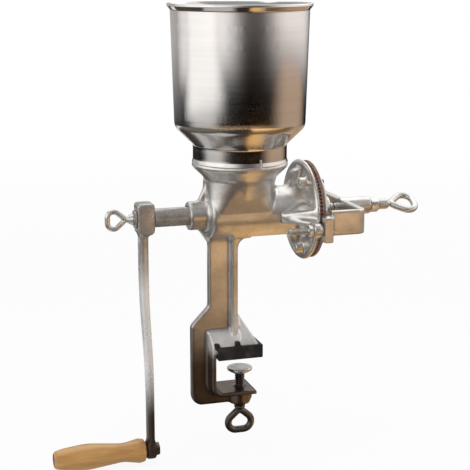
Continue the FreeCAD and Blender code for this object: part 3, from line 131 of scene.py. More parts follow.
class Recipe:
    """A material's node tree, with short calls for the nodes that the finishes share."""

    def __init__(self, name: str) -> None:
        """Start a material with a plain principled shader.

        Args:
            name: the material's name.
        """
        self.material = bpy.data.materials.new(name)
        self.material.use_nodes = True
        self.nodes = self.material.node_tree.nodes
        self.links = self.material.node_tree.links
        self.shader = self.nodes["Principled BSDF"]
        self.place = self.nodes.new("ShaderNodeTexCoord").outputs["Object"]
        self.sides = self.nodes.new("ShaderNodeSeparateXYZ")
        self.links.new(self.place, self.sides.inputs["Vector"])

    def constants(self, values: dict[str, float]) -> None:
        """Set shader sockets, by name, that are the same all over the surface."""
        for socket, value in values.items():
            self.shader.inputs[socket].default_value = value

    def feed(self, socket: str, source: Socket) -> None:
        """Link a source to one of the shader's sockets."""
        self.links.new(source, self.shader.inputs[socket])

    def noise(self, scale: float | Point, detail: float, rough: float = 0.5) -> Socket:
        """Cloudy noise over the surface.

        Args:
            scale: clouds per metre, or those along X, Y and Z.
            detail: how many finer layers are added.
            rough: how strong the finer layers are.

        Returns:
            A value around 0.5.
        """
        place = self.place
        if isinstance(scale, tuple):
            stretch = self.nodes.new("ShaderNodeMapping")
            stretch.inputs["Scale"].default_value = scale
            self.links.new(place, stretch.inputs["Vector"])
            place, scale = stretch.outputs["Vector"], 1.0
        node = self.nodes.new("ShaderNodeTexNoise")
        self.links.new(place, node.inputs["Vector"])
        for socket, number in {"Scale": scale, "Detail": detail, "Roughness": rough}.items():
            node.inputs[socket].default_value = number
        return node.outputs["Fac"]

    def span(self, value: Socket, low: float, high: float, to_low: float = 0.0, to_high: float = 1.0,
             eased: bool = False) -> Socket:
        """Stretch a value from one span to another, held at the ends.

        Args:
            value: the value to stretch.
            low: start of the span it comes from.
            high: end of that span.
            to_low: what the start becomes.
            to_high: what the end becomes.
            eased: whether it starts and ends gently.

        Returns:
            The stretched value.
        """
        node = self.nodes.new("ShaderNodeMapRange")
        node.interpolation_type = "SMOOTHSTEP" if eased else "LINEAR"
        limits = {"From Min": low, "From Max": high, "To Min": to_low, "To Max": to_high}
        for socket, number in limits.items():
            node.inputs[socket].default_value = number
        self.links.new(value, node.inputs["Value"])
        return node.outputs["Result"]

    def math(self, kind: str, first: Socket, second: Socket | float) -> Socket:
        """Combine two values.

        Args:
            kind: the operation, as the math node names it.
            first: the first value.
            second: the second value, or a plain number.

        Returns:
            The result.
        """
        node = self.nodes.new("ShaderNodeMath")
        node.operation = kind
        self.links.new(first, node.inputs[0])
        if isinstance(second, (int, float)):
            node.inputs[1].default_value = second
        else:
            self.links.new(second, node.inputs[1])
        return node.outputs[0]

    def blend(self, factor: Socket, first: Socket | Colour, second: Socket | Colour) -> Socket:
        """Blend two colours.

        Args:
            factor: 0 gives the first and 1 the second.
            first: a colour or a socket with one.
            second: a colour or a socket with one.

        Returns:
            The blended colour.
        """
        node = self.nodes.new("ShaderNodeMix")
        node.data_type = "RGBA"
        self.links.new(factor, node.inputs[0])
        # The node's colours are its inputs 6 and 7 and its output 2.
        for socket, colour in ((node.inputs[6], first), (node.inputs[7], second)):
            if isinstance(colour, tuple):
                socket.default_value = (*colour, 1.0)
            else:
                self.links.new(colour, socket)
        return node.outputs[2]

    def vector(self, kind: str, first: Socket, second: Socket | Point) -> Socket:
        """Combine two vectors or colours.

        Args:
            kind: the operation, as the vector math node names it.
            first: the first vector.
            second: the second vector, or plain numbers.

        Returns:
            The result, which is a number for a dot product.
        """
        node = self.nodes.new("ShaderNodeVectorMath")
        node.operation = kind
        self.links.new(first, node.inputs[0])
        if isinstance(second, tuple):
            node.inputs[1].default_value = second
        else:
            self.links.new(second, node.inputs[1])
        return node.outputs["Value" if kind == "DOT_PRODUCT" else "Vector"]

    def shine(self, light: Socket) -> None:
        """Make the surface give off a light in place of its shader.

        Args:
            light: the light's colour.
        """
        glow = self.nodes.new("ShaderNodeEmission")
        self.links.new(light, glow.inputs["Color"])
        self.links.new(glow.outputs["Emission"], self.nodes["Material Output"].inputs["Surface"])

    def along(self, axis: str) -> Socket:
        """How far the surface lies along the mill's X, Y or Z axis, in metres."""
        return self.sides.outputs[axis]

    def bump(self, height: Socket, depth: float, strength: float, under: Socket | None = None) -> Socket:
        """Raise the surface by a height pattern.

        Args:
            height: the pattern.
            depth: how high a full step stands, in metres.
            strength: how much of it shows.
            under: another bump that lies under this one.

        Returns:
            The bumped normal.
        """
        node = self.nodes.new("ShaderNodeBump")
        node.inputs["Distance"].default_value = depth
        node.inputs["Strength"].default_value = strength
        self.links.new(height, node.inputs["Height"])
        if under is not None:
            self.links.new(under, node.inputs["Normal"])
        return node.outputs["Normal"]

    def eased(self, radius: float, samples: int = 6) -> Socket:
        """Round off hard edges.

        Args:
            radius: radius of the rounds, in metres.
            samples: how finely they are worked out.

        Returns:
            The rounded normal.
        """
        node = self.nodes.new("ShaderNodeBevel")
        node.samples = samples
        node.inputs["Radius"].default_value = radius
        return node.outputs["Normal"]


class Finish(ABC):
    """One of the mill's finishes."""

    coat: Coat

    def make(self) -> Material:
        """Build the material.

        Returns:
            The material.
        """
        recipe = Recipe(self.coat.value)
        self.mix(recipe)
        return recipe.material

    @abstractmethod
    def mix(self, recipe: Recipe) -> None:
        """Mix the finish.

        Args:
            recipe: the recipe that receives it.
        """


@dataclass(frozen=True)
class TinnedIron(Finish):
    """Sand cast iron dipped in tin: satin, softly lumpy, stained brown where grease and dust stay, with
    painted shade on the low clamp where it lies in shadow.

    Attributes:
        coat: which finish it is.
        silver: colour of clean tin.
        dull: colour of worn tin.
        stain: colour of the stains.
        stain_share: how strong the stains are.
        painted_shade: colour of the painted shade on the low clamp, where it lies in shadow.
        low_shade: how strong the painted shade is, 0 for none.
        shade_heights: where the painted shade starts and where it is full, in metres.
        foot_shade_heights: the same for the lower jaw.
        jaw_heights: where the upper jaw, kept free of the painted shade, starts and where it is all free,
            in metres.
        jaw_sides: the same, out from the middle of the clamp's web.
        metal: how metallic the tin is.
        jaw_metal: how metallic the upper jaw is.
        lump_depth: height of the casting's lumps, in metres.
        skin_depth: height of the grain on its skin, in metres.
    """

    coat: Coat
    silver: Colour = (0.83, 0.82, 0.80)
    dull: Colour = (0.55, 0.54, 0.52)
    stain: Colour = (0.30, 0.22, 0.15)
    stain_share: float = 0.24
    painted_shade: Colour = (0.09, 0.054, 0.035)
    low_shade: float = 0.0
    shade_heights: Pair = (0.055, -0.01)
    foot_shade_heights: Pair = (-0.01, -0.02)
    jaw_heights: Pair = (0.0, 0.012)
    jaw_sides: Pair = (0.0045, 0.0070)
    metal: float = 0.93
    jaw_metal: float = 0.40
    lump_depth: float = 0.0009
    skin_depth: float = 0.00018

    def mix(self, recipe: Recipe) -> None:
        """Mix the finish.

        Args:
            recipe: the recipe that receives it.
        """
        recipe.constants({"Metallic": self.metal})
        clouds = recipe.noise(26.0, detail=4.0, rough=0.55)
        specks = recipe.noise(330.0, detail=4.0, rough=0.6)
        tin = recipe.blend(recipe.span(clouds, 0.35, 0.70), self.silver, self.dull)
        settled = recipe.span(clouds, 0.34, 0.62, 0.25, 1.0)
        grime = recipe.math("MULTIPLY", recipe.span(specks, 0.48, 0.72), settled)
        stained = recipe.blend(recipe.math("MULTIPLY", grime, self.stain_share), tin, self.stain)
        # The low clamp gets painted shade, darker towards the bottom where it lies in shadow.
        recipe.feed("Base Color", self.blackened(recipe, stained) if self.low_shade > 0.0 else stained)
        recipe.feed("Roughness", recipe.span(clouds, 0.35, 0.70, 0.28, 0.36))
        lumps = recipe.bump(recipe.noise(64.0, detail=2.0), self.lump_depth, strength=0.5)
        skin = recipe.noise(230.0, detail=2.0)
        recipe.feed("Normal", recipe.bump(skin, self.skin_depth, strength=0.5, under=lumps))

    def blackened(self, recipe: Recipe, tin: Socket) -> Socket:
        """Paint shade on the low clamp, where it lies in shadow, all but the upper jaw, which is kept
        light.

        Args:
            recipe: the material's recipe.
            tin: the colour without the painted shade.

        Returns:
            The colour with the painted shade.
        """
        # Painted shade: darker below these heights, where the clamp lies in shadow; the upper jaw is kept
        # out of it and made less metallic so it renders lighter.
        low = recipe.span(recipe.along("Z"), *self.shade_heights, 0.0, self.low_shade)
        foot = recipe.span(recipe.along("Z"), *self.foot_shade_heights, 0.0, self.low_shade)
        across = recipe.along("Y")
        web, clear = self.jaw_sides
        ledge = recipe.span(recipe.math("MULTIPLY", across, across), web ** 2, clear ** 2)
        jaw = recipe.math("MULTIPLY", ledge, recipe.span(recipe.along("Z"), *self.jaw_heights))
        brightened_zone = recipe.math("MULTIPLY", low, jaw)
        recipe.feed("Metallic", recipe.span(brightened_zone, 0.0, 0.5, self.metal, self.jaw_metal))
        shade_share = recipe.math("MULTIPLY", low, recipe.span(jaw, 0.0, 1.0, 1.0, 0.0))
        return recipe.blend(recipe.math("MAXIMUM", shade_share, foot), tin, self.painted_shade)


@dataclass(frozen=True)
class SpunSteel(Finish):
    """Thin steel spun over a former: fine level rings and a satin shine.

    Attributes:
        coat: which finish it is.
        bright: colour of the brighter bands.
        shade: colour of the darker bands.
        ring_depth: depth of the rings, in metres.
        cone_foot: heights where the duller cone starts and is all dull, in metres.
        cone_top: heights where it is last all dull and ends, in metres.
        cone_wear: how much rougher the cone is.
    """

    coat: Coat = Coat.SPUN
    bright: Colour = (0.735, 0.715, 0.70)
    shade: Colour = (0.70, 0.68, 0.665)
    ring_depth: float = 0.00003
    cone_foot: Pair = (0.210, 0.213)
    cone_top: Pair = (0.226, 0.236)
    cone_wear: float = 0.10

    def mix(self, recipe: Recipe) -> None:
        """Mix the finish.

        Args:
            recipe: the recipe that receives it.
        """
        recipe.constants({"Metallic": 1.0})
        rings = recipe.noise((6.0, 6.0, 1500.0), detail=3.0, rough=0.6)
        bands = recipe.noise((3.0, 3.0, 150.0), detail=2.0)
        recipe.feed("Base Color", recipe.blend(recipe.span(bands, 0.35, 0.65), self.bright, self.shade))
        under = recipe.span(recipe.along("Z"), *self.cone_top, self.cone_wear, 0.0)
        worn = recipe.math("MULTIPLY", under, recipe.span(recipe.along("Z"), *self.cone_foot))
        recipe.feed("Roughness", recipe.math("ADD", recipe.span(rings, 0.3, 0.7, 0.08, 0.12), worn))
        recipe.feed("Normal", recipe.bump(rings, self.ring_depth, strength=0.06))


@dataclass(frozen=True)
class GroundIron(Finish):
    """Bare iron grinding plates with a thin red-brown rust."""

    coat: Coat = Coat.PLATE
    iron: Colour = (0.20, 0.15, 0.13)
    rust: Colour = (0.24, 0.09, 0.055)
    meal: Colour = (0.46, 0.30, 0.20)
    pit_depth: float = 0.00025
    edge_round: float = 0.0004

    def mix(self, recipe: Recipe) -> None:
        """Mix the finish.

        Args:
            recipe: the recipe that receives it.
        """
        recipe.constants({"Metallic": 0.25})
        clouds = recipe.noise(160.0, detail=4.0, rough=0.6)
        specks = recipe.noise(900.0, detail=3.0, rough=0.6)
        rusted = recipe.blend(recipe.span(clouds, 0.38, 0.62), self.iron, self.rust)
        recipe.feed("Base Color", recipe.blend(recipe.span(specks, 0.56, 0.74), rusted, self.meal))
        recipe.feed("Roughness", recipe.span(clouds, 0.35, 0.65, 0.55, 0.8))
        eased = recipe.eased(self.edge_round)
        recipe.feed("Normal", recipe.bump(specks, self.pit_depth, strength=0.6, under=eased))


@dataclass(frozen=True)
class RolledSteel(Finish):
    """Plain or plated steel with fine drawing lines and faint handling marks, and optionally a painted
    highlight over a middle height with painted shade below it.

    Attributes:
        coat: which finish it is.
        light: colour of clean steel.
        dark: colour of worn steel.
        smooth: least roughness.
        dull: most roughness.
        line_scale: drawing lines per metre along X, Y and Z.
        mark_depth: depth of the handling marks, in metres.
        line_share: depth of the drawing lines, as a share of the marks'.
        edge_round: how far edges look rounded, in metres.
        metal: how metallic it is.
        painted_highlight: colour of the painted highlight on the crank arm's middle, or none.
        highlight_metal: how metallic that middle is.
        highlight_heights: where the painted highlight starts and where it is full, in metres.
        arm_shade: colour of the painted shade below it.
        arm_shade_heights: where the painted shade starts and where it is full, in metres.
    """

    coat: Coat
    light: Colour
    dark: Colour
    smooth: float
    dull: float
    line_scale: Point = (60.0, 60.0, 900.0)
    mark_depth: float = 0.00012
    line_share: float = 0.4
    edge_round: float = 0.0005
    metal: float = 1.0
    painted_highlight: Colour | None = None
    highlight_metal: float = 0.40
    highlight_heights: Pair = (0.115, 0.065)
    arm_shade: Colour = (0.055, 0.034, 0.024)
    arm_shade_heights: Pair = (0.0, -0.06)

    def mix(self, recipe: Recipe) -> None:
        """Mix the finish.

        Args:
            recipe: the recipe that receives it.
        """
        recipe.constants({"Metallic": self.metal})
        clouds = recipe.noise(75.0, detail=5.0, rough=0.62)
        specks = recipe.noise(520.0, detail=3.0, rough=0.6)
        lines = recipe.noise(self.line_scale, detail=3.0, rough=0.6)
        spotted = recipe.span(specks, 0.5, 0.75, 0.0, 0.5)
        worn = recipe.math("ADD", recipe.span(clouds, 0.40, 0.68, 0.0, 0.7), spotted)
        steel = recipe.blend(worn, self.light, self.dark)
        if self.painted_highlight is not None:
            # Painted light on the crank arm: a painted highlight across its middle, made less metallic
            # there so it renders lighter, and painted shade towards its foot.
            brightened_zone = recipe.span(recipe.along("Z"), *self.highlight_heights, eased=True)
            shaded_foot = recipe.span(recipe.along("Z"), *self.arm_shade_heights, eased=True)
            steel = recipe.blend(shaded_foot, recipe.blend(brightened_zone, steel, self.painted_highlight), self.arm_shade)
            recipe.feed("Metallic", recipe.span(brightened_zone, 0.0, 1.0, self.metal, self.highlight_metal))
        recipe.feed("Base Color", steel)
        recipe.feed("Roughness", recipe.span(clouds, 0.35, 0.7, self.smooth, self.dull))
        marks = recipe.bump(specks, self.mark_depth, strength=0.4, under=recipe.eased(self.edge_round))
        line_depth = self.mark_depth * self.line_share
        recipe.feed("Normal", recipe.bump(lines, line_depth, strength=0.4, under=marks))


@dataclass(frozen=True)
class LacqueredWood(Finish):
    """Pale turned wood under a clear lacquer, its grain running along the grip."""

    coat: Coat = Coat.WOOD
    pale: Colour = (0.62, 0.345, 0.105)
    warm: Colour = (0.46, 0.225, 0.058)
    pore: Colour = (0.32, 0.16, 0.06)
    fibre_depth: float = 0.00008

    def mix(self, recipe: Recipe) -> None:
        """Mix the finish.

        Args:
            recipe: the recipe that receives it.
        """
        recipe.constants({"Coat Weight": 0.45, "Coat Roughness": 0.16, "Specular IOR Level": 0.4})
        figure = recipe.noise((14.0, 190.0, 190.0), detail=4.0, rough=0.55)
        fibre = recipe.noise((70.0, 1500.0, 1500.0), detail=3.0, rough=0.6)
        pores = recipe.noise((110.0, 2600.0, 2600.0), detail=2.0)
        grain = recipe.blend(recipe.span(figure, 0.36, 0.64), self.pale, self.warm)
        lined = recipe.blend(recipe.span(fibre, 0.55, 0.85, 0.0, 0.5), grain, self.warm)
        recipe.feed("Base Color", recipe.blend(recipe.span(pores, 0.64, 0.80, 0.0, 0.6), lined, self.pore))
        recipe.feed("Roughness", recipe.span(fibre, 0.3, 0.7, 0.34, 0.5))
        recipe.feed("Normal", recipe.bump(fibre, self.fibre_depth, strength=0.4))


@dataclass(frozen=True)
class MouldedRubber(Finish):
    """Black moulded rubber with a matt, faintly dusty skin."""

    coat: Coat = Coat.RUBBER
    black: Colour = (0.012, 0.012, 0.013)
    dusty: Colour = (0.045, 0.042, 0.040)
    skin_depth: float = 0.00015

    def mix(self, recipe: Recipe) -> None:
        """Mix the finish.

        Args:
            recipe: the recipe that receives it.
        """
        recipe.constants({"Specular IOR Level": 0.35})
        dust = recipe.noise(130.0, detail=5.0, rough=0.65)
        skin = recipe.noise(1100.0, detail=2.0)
        recipe.feed("Base Color", recipe.blend(recipe.span(dust, 0.48, 0.72), self.black, self.dusty))
        recipe.feed("Roughness", recipe.span(dust, 0.35, 0.7, 0.5, 0.75))
        recipe.feed("Normal", recipe.bump(skin, self.skin_depth, strength=0.35))


FINISHES: tuple[Finish, ...] = (
    # The casting carries painted shade on its low clamp.
    TinnedIron(Coat.CASTING, low_shade=0.9),
    TinnedIron(Coat.FITTING, lump_depth=0.0007),
    TinnedIron(Coat.WORM, silver=(0.66, 0.65, 0.62)),
    MouldedRubber(),
    SpunSteel(),
    GroundIron(),
    # The plain steel carries a painted highlight on the crank arm's middle and painted shade below it.
    RolledSteel(Coat.PLAIN, (0.50, 0.48, 0.46), (0.26, 0.24, 0.22), 0.24, 0.40, metal=0.65,
                painted_highlight=(0.95, 0.94, 0.93)),
    RolledSteel(Coat.BRIGHT, (0.76, 0.76, 0.75), (0.48, 0.47, 0.45), 0.20, 0.36, metal=0.85),
    RolledSteel(Coat.DARK, (0.17, 0.16, 0.155), (0.07, 0.06, 0.055), 0.22, 0.40, metal=0.9),
    LacqueredWood(),
)


@dataclass(frozen=True)
class Thread:
    """A screw thread, in millimetres.

    Attributes:
        shank: where the shank that carries it starts and ends along the axis.
        ridge: where its ridge starts and ends along the axis.
        crest: radius of the crest, and of the shank before it is turned down.
        pitch: rise in one turn.
        depth: how deep the thread is.
    """

    shank: Pair
    ridge: Pair
    crest: float
    pitch: float
    depth: float


@dataclass(frozen=True)
class Lathe:
    """Cuts threads about an axis through a point.

    Attributes:
        axis: the axis of the screw.
        centre: a point on it, in metres.
        per_turn: steps in one turn of a ridge.
        sink: how deep a ridge's foot lies, as a share of the thread's depth.
        flanks: where a ridge's foot and crest start and end, as shares of the pitch.
        slack: how far beyond the shank's ends its points may lie, in metres.
        near: how far off its radius they may lie, in metres.
    """

    axis: Axis
    centre: Point
    per_turn: int = 28
    sink: float = 1.15
    flanks: tuple[float, float, float, float] = (0.06, 0.42, 0.58, 0.94)
    slack: float = 1e-6
    near: float = 0.0002

    def at(self, along: float, out: float) -> Vector:
        """The point of an outline, from millimetres along and out from the axis."""
        flat = Vector(self.centre) - self.axis.along * self.axis.along.dot(self.centre)
        return flat + self.axis.along * along * MM + self.axis.out * out * MM

    def reach(self, point: Vector) -> float:
        """How far a point lies from the axis."""
        offset = point - Vector(self.centre)
        return (offset - self.axis.along * offset.dot(self.axis.along)).length

    def cut(self, bm: Shape, thread: Thread) -> None:
        """Cut a thread on a plain shank in a mesh."""
        self.thin(bm, thread)
        self.wind(bm, thread)

    def thin(self, bm: Shape, thread: Thread) -> None:
        """Turn a shank down to a thread's root.

        Args:
            bm: the mesh that holds the shank.
            thread: the thread.
        """
        low, high = thread.shank[0] * MM - self.slack, thread.shank[1] * MM + self.slack
        shank = [vert for vert in bm.verts if low <= vert.co.dot(self.axis.along) <= high
                 and abs(self.reach(vert.co) - thread.crest * MM) < self.near]
        share = (thread.crest - thread.depth) / thread.crest
        scale = Vector((share, share, share)) + self.axis.along * (1.0 - share)
        bmesh.ops.scale(bm, vec=scale, space=Matrix.Translation(-Vector(self.centre)), verts=shank)

    def wind(self, bm: Shape, thread: Thread) -> None:
        """Wind a thread's ridge round the axis and add it to a mesh.

        Args:
            bm: the mesh that receives it.
            thread: the thread.
        """
        start, end = thread.ridge
        turns = (end - start - thread.pitch) / thread.pitch
        root = thread.crest - thread.depth * self.sink
        outline = zip(self.flanks, (root, thread.crest, thread.crest, root))
        work = bmesh.new()
        verts = [work.verts.new(self.at(start + share * thread.pitch, out)) for share, out in outline]
        edges = [work.edges.new(pair) for pair in zip(verts, verts[1:])]
        bmesh.ops.spin(work, geom=verts + edges, cent=self.centre, axis=self.axis.along,
                       dvec=self.axis.along * (thread.pitch * MM / self.per_turn),
                       angle=math.tau * turns, steps=max(1, round(turns * self.per_turn)),
                       use_merge=False, use_duplicate=False)
        bmesh.ops.remove_doubles(work, verts=work.verts[:], dist=TOUCH)
        pour(work, bm)


@dataclass(frozen=True)
class Skin:
    """How soft a cast or moulded piece is.

    Attributes:
        grain: size of the skin's faces, in metres.
        rounds: how often the skin is smoothed.
    """

    grain: float
    rounds: int


def pour(source: Shape, target: Shape) -> None:
    """Add one mesh to another and free it.

    Args:
        source: the mesh that is added, and freed.
        target: the mesh that receives it.
    """
    carrier = bpy.data.meshes.new("carrier")
    source.to_mesh(carrier)
    source.free()
    target.from_mesh(carrier)
    bpy.data.meshes.remove(carrier)


@dataclass
class SubAssembly:
    """Pieces that are built and dressed together.

    Attributes:
        coats: the finished materials.
    """

    frame: dict[str, Any]
    coats: dict[Coat, Material]

    def merged(self, node: str) -> Shape:
        """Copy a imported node's mesh and merge its loose triangles.

        Args:
            node: the node's name.

        Returns:
            The merged copy.
        """
        bm = bmesh.new()
        bm.from_mesh(self.frame["nodes"][node].data)
        bmesh.ops.remove_doubles(bm, verts=bm.verts[:], dist=MERGE)
        return bm

    def softened(self, bm: Shape, skin: Skin) -> Shape:
        """Give a shape the soft edges and filled corners of a casting or a moulding.

        Args:
            bm: the sharp shape, which is freed.
            skin: how soft it becomes.

        Returns:
            The soft shape.
        """
        sharp = bpy.data.meshes.new("sharp")
        bm.to_mesh(sharp)
        bm.free()
        holder = bpy.data.objects.new("holder", sharp)
        bpy.context.scene.collection.objects.link(holder)
        remesh = holder.modifiers.new("skin", "REMESH")
        remesh.mode = "VOXEL"
        remesh.voxel_size = skin.grain
        depsgraph = bpy.context.evaluated_depsgraph_get()
        soft = bpy.data.meshes.new_from_object(holder.evaluated_get(depsgraph))
        bpy.data.objects.remove(holder)
        bpy.data.meshes.remove(sharp)
        result = bmesh.new()
        result.from_mesh(soft)
        bpy.data.meshes.remove(soft)
        for _ in range(skin.rounds):
            bmesh.ops.smooth_vert(result, verts=result.verts[:], factor=0.5, use_axis_x=True,
                                  use_axis_y=True, use_axis_z=True)
        return result

    def broken(self, bm: Shape, width: float, flat_deg: float = 1.0,
               edge_deg: float = 35.0) -> Shape:
        """Break a shape's sharp edges with small rounds.

        Args:
            bm: the sharp shape.
            width: how far the rounds reach from the edges, in metres.
            flat_deg: faces that meet at less than this become one.
            edge_deg: edges sharper than this get a round.

        Returns:
            The same shape with rounded edges.
        """
        bmesh.ops.dissolve_limit(bm, angle_limit=math.radians(flat_deg), use_dissolve_boundaries=False,
                                 verts=bm.verts[:], edges=bm.edges[:])
        least = math.radians(edge_deg)
        sharp = [edge for edge in bm.edges if edge.is_manifold and edge.calc_face_angle() > least]
        bmesh.ops.bevel(bm, geom=sharp, offset=width, offset_type="OFFSET", segments=2, profile=0.5,
                        affect="EDGES", clamp_overlap=True, material=-1)
        bmesh.ops.recalc_face_normals(bm, faces=bm.faces[:])
        return bm

    def piece(self, name: str, bm: Shape, coat: Coat, body: Body, nodes: Sequence[str],
              crease_deg: float = 40.0) -> bpy.types.Object:
        """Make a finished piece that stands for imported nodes.

        Args:
            name: the piece's name.
            bm: its mesh, which is freed.
            coat: its finish.
            body: the body that it rides on.
            nodes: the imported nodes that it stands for.
            crease_deg: edges sharper than this stay sharp.

        Returns:
            The piece.
        """
        mesh = bpy.data.meshes.new(name)
        bm.to_mesh(mesh)
        bm.free()
        mesh.shade_smooth()
        mesh.set_sharp_from_angle(angle=math.radians(crease_deg))
        mesh.materials.append(self.coats[coat])
        thing = bpy.data.objects.new(name, mesh)
        bpy.context.scene.collection.objects.link(thing)
        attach(thing, body.value)
        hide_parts(*nodes)
        LOG.info("built %s with %d faces", name, len(mesh.polygons))
        return thing

    def dress(self, coat: Coat, *nodes: str) -> None:
        """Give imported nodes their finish.

        Args:
            coat: the finish.
            nodes: the nodes' names.
        """
        for node in nodes:
            for place in self.frame["nodes"][node].material_slots:
                place.material = self.coats[coat]
            LOG.info("dressed %s as %s", node, coat.value)


@dataclass
class CastFrame(SubAssembly):
    """The one-piece casting with its throat, barrel, post and clamp, and the rubber pad on its jaw.

    Attributes:
        casting_skin: how soft the casting is.
        pad_skin: how soft the pad is.
        nub_places: middles of the nubs that hook the pad over the jaw's near edge, in metres.
        nub_size: length, width and height of a nub, in metres.
    """

    casting_skin: Skin = Skin(0.0012, 5)
    pad_skin: Skin = Skin(0.0007, 9)
    nub_places: tuple[Point, ...] = ((-0.030, -0.0220, 0.0140), (-0.009, -0.0215, 0.0145))
    nub_size: Point = (0.0050, 0.0064, 0.0062)

    def build(self) -> None:
        """Build and dress the casting and the pad."""
        casting = self.softened(self.merged("body_casting"), self.casting_skin)
        self.piece("casting", casting, Coat.CASTING, Body.FRAME, ["body_casting"], SOFT_CREASE_DEG)
        tray = self.merged("jaw_pad")
        for place in self.nub_places:
            bmesh.ops.create_cube(tray, size=1.0, matrix=Matrix.LocRotScale(place, None, self.nub_size))
        pad = self.softened(tray, self.pad_skin)
        self.piece("rubber_pad", pad, Coat.RUBBER, Body.FRAME, ["jaw_pad"], SOFT_CREASE_DEG)


@dataclass
class SpunHopper(SubAssembly):
    """The sheet hopper on the throat.

    Attributes:
        level_cuts: heights above its foot where its walls get a ring of edges, in metres.
        crease_deg: edges sharper than this stay sharp.
    """

    level_cuts: tuple[float, ...] = (0.0062, 0.0142, 0.0205, 0.0240, 0.0440, 0.0460, 0.0500, 0.0700,
                                     0.0900, 0.1100, 0.1300, 0.1400, 0.1415)
    crease_deg: float = 30.0

    def build(self) -> None:
        """Build and dress the hopper."""
        shell = self.merged("hopper")
        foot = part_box("hopper")[0][2]
        for cut in self.level_cuts:
            bmesh.ops.bisect_plane(shell, geom=shell.verts[:] + shell.edges[:] + shell.faces[:], dist=TOUCH,
                                   plane_co=(0.0, 0.0, foot + cut), plane_no=(0.0, 0.0, 1.0),
                                   use_snap_center=False, clear_outer=False, clear_inner=False)
        self.piece("spun_hopper", shell, Coat.SPUN, Body.HOPPER, ["hopper"], self.crease_deg)


@dataclass
class GrindingHead(SubAssembly):
    """Plates, carrier, worm and shaft.

    Attributes:
        carrier_skin: how soft the carrier is.
    """

    carrier_skin: Skin = Skin(0.0009, 3)

    def build(self) -> None:
        """Build and dress the grinding head."""
        self.dress(Coat.PLATE, "stationary_plate", "rotating_plate")
        self.dress(Coat.DARK, "stationary_plate_screws", "rotating_plate_screws")
        self.dress(Coat.BRIGHT, "worm_pin", "carrier_pin", "thrust_ball")
        self.dress(Coat.WORM, "feed_worm")
        self.dress(Coat.PLAIN, "drive_shaft")
        carrier = self.softened(self.merged("plate_carrier"), self.carrier_skin)
        self.piece("carrier", carrier, Coat.FITTING, Body.ROTOR, ["plate_carrier"], SOFT_CREASE_DEG)


@dataclass
class AdjustingYoke(SubAssembly):
    """The yoke with its studs, the adjusting screw and the lock nut.

    Attributes:
        yoke_skin: how soft the yoke is.
        screw_centre: a point on the adjusting screw's axis, in metres.
        screw_thread: the adjusting screw's thread.
        stud_centre: a point on the far stud's axis, in metres.
        stud_thread: the studs' thread.
        lock_nut_edge: width of the rounds on the lock nut, in metres.
        stud_nut_edge: width of the rounds on the studs' nuts, in metres.
    """

    yoke_skin: Skin = Skin(0.0009, 4)
    screw_centre: Point = (0.12, 0.0, 0.141)
    screw_thread: Thread = Thread((98.0, 146.0), (99.6, 145.5), crest=4.0, pitch=1.25, depth=0.55)
    stud_centre: Point = (0.05, 0.0545, 0.1305)
    stud_thread: Thread = Thread((30.0, 62.5), (32.2, 50.2), crest=3.0, pitch=1.0, depth=0.45)
    lock_nut_edge: float = 0.0006
    stud_nut_edge: float = 0.0005

    def build(self) -> None:
        """Build and dress the yoke and what it carries."""
        yoke = self.softened(self.merged("yoke"), self.yoke_skin)
        self.piece("yoke_casting", yoke, Coat.FITTING, Body.FRAME, ["yoke"], SOFT_CREASE_DEG)
        screw = self.merged("adjusting_screw")
        Lathe(Axis.BARREL, self.screw_centre).cut(screw, self.screw_thread)
        self.piece("adjuster", screw, Coat.BRIGHT, Body.ADJUSTER, ["adjusting_screw"])
        nut = self.broken(self.merged("lock_nut"), self.lock_nut_edge)
        self.piece("adjuster_nut", nut, Coat.BRIGHT, Body.LOCK_NUT, ["lock_nut"])
        studs = self.merged("yoke_studs")
        along, reach, height = self.stud_centre
        for side in (-1.0, 1.0):
            Lathe(Axis.BARREL, (along, side * reach, height)).cut(studs, self.stud_thread)
        self.piece("threaded_studs", studs, Coat.BRIGHT, Body.FRAME, ["yoke_studs"])
        nuts = self.broken(self.merged("yoke_nuts"), self.stud_nut_edge)
        self.piece("stud_nuts", nuts, Coat.BRIGHT, Body.FRAME, ["yoke_nuts"])


@dataclass
class Crank(SubAssembly):
    """The crank arm with its eye screw, washer and turning grip.

    Attributes:
        arm_skin: how soft the arm is.
        screw_centre: a point on the eye screw's axis, in metres.
        screw_thread: the eye screw's thread.
        nut_edge: width of the rounds on the grip's nut, in metres.
    """

    arm_skin: Skin = Skin(0.0008, 22)
    screw_centre: Point = (-0.1, 0.0, 0.141)
    screw_thread: Thread = Thread((-104.3, -88.3), (-103.4, -89.0), crest=4.0, pitch=1.25, depth=0.55)
    nut_edge: float = 0.0005

    def build(self) -> None:
        """Build and dress the crank."""
        arm = self.softened(self.merged("crank_arm"), self.arm_skin)
        self.piece("crank_bar", arm, Coat.PLAIN, Body.ROTOR, ["crank_arm"], SOFT_CREASE_DEG)
        screw = self.merged("crank_screw")
        Lathe(Axis.BARREL, self.screw_centre).cut(screw, self.screw_thread)
        self.piece("crank_eye_screw", screw, Coat.BRIGHT, Body.CRANK_SCREW, ["crank_screw"])
        self.dress(Coat.PLAIN, "crank_screw_washer", "grip_washer")
        self.dress(Coat.WOOD, "grip")
        self.dress(Coat.DARK, "grip_bolt")
        nut = self.broken(self.merged("grip_nut"), self.nut_edge)
        self.piece("grip_bolt_nut", nut, Coat.DARK, Body.ROTOR, ["grip_nut"])


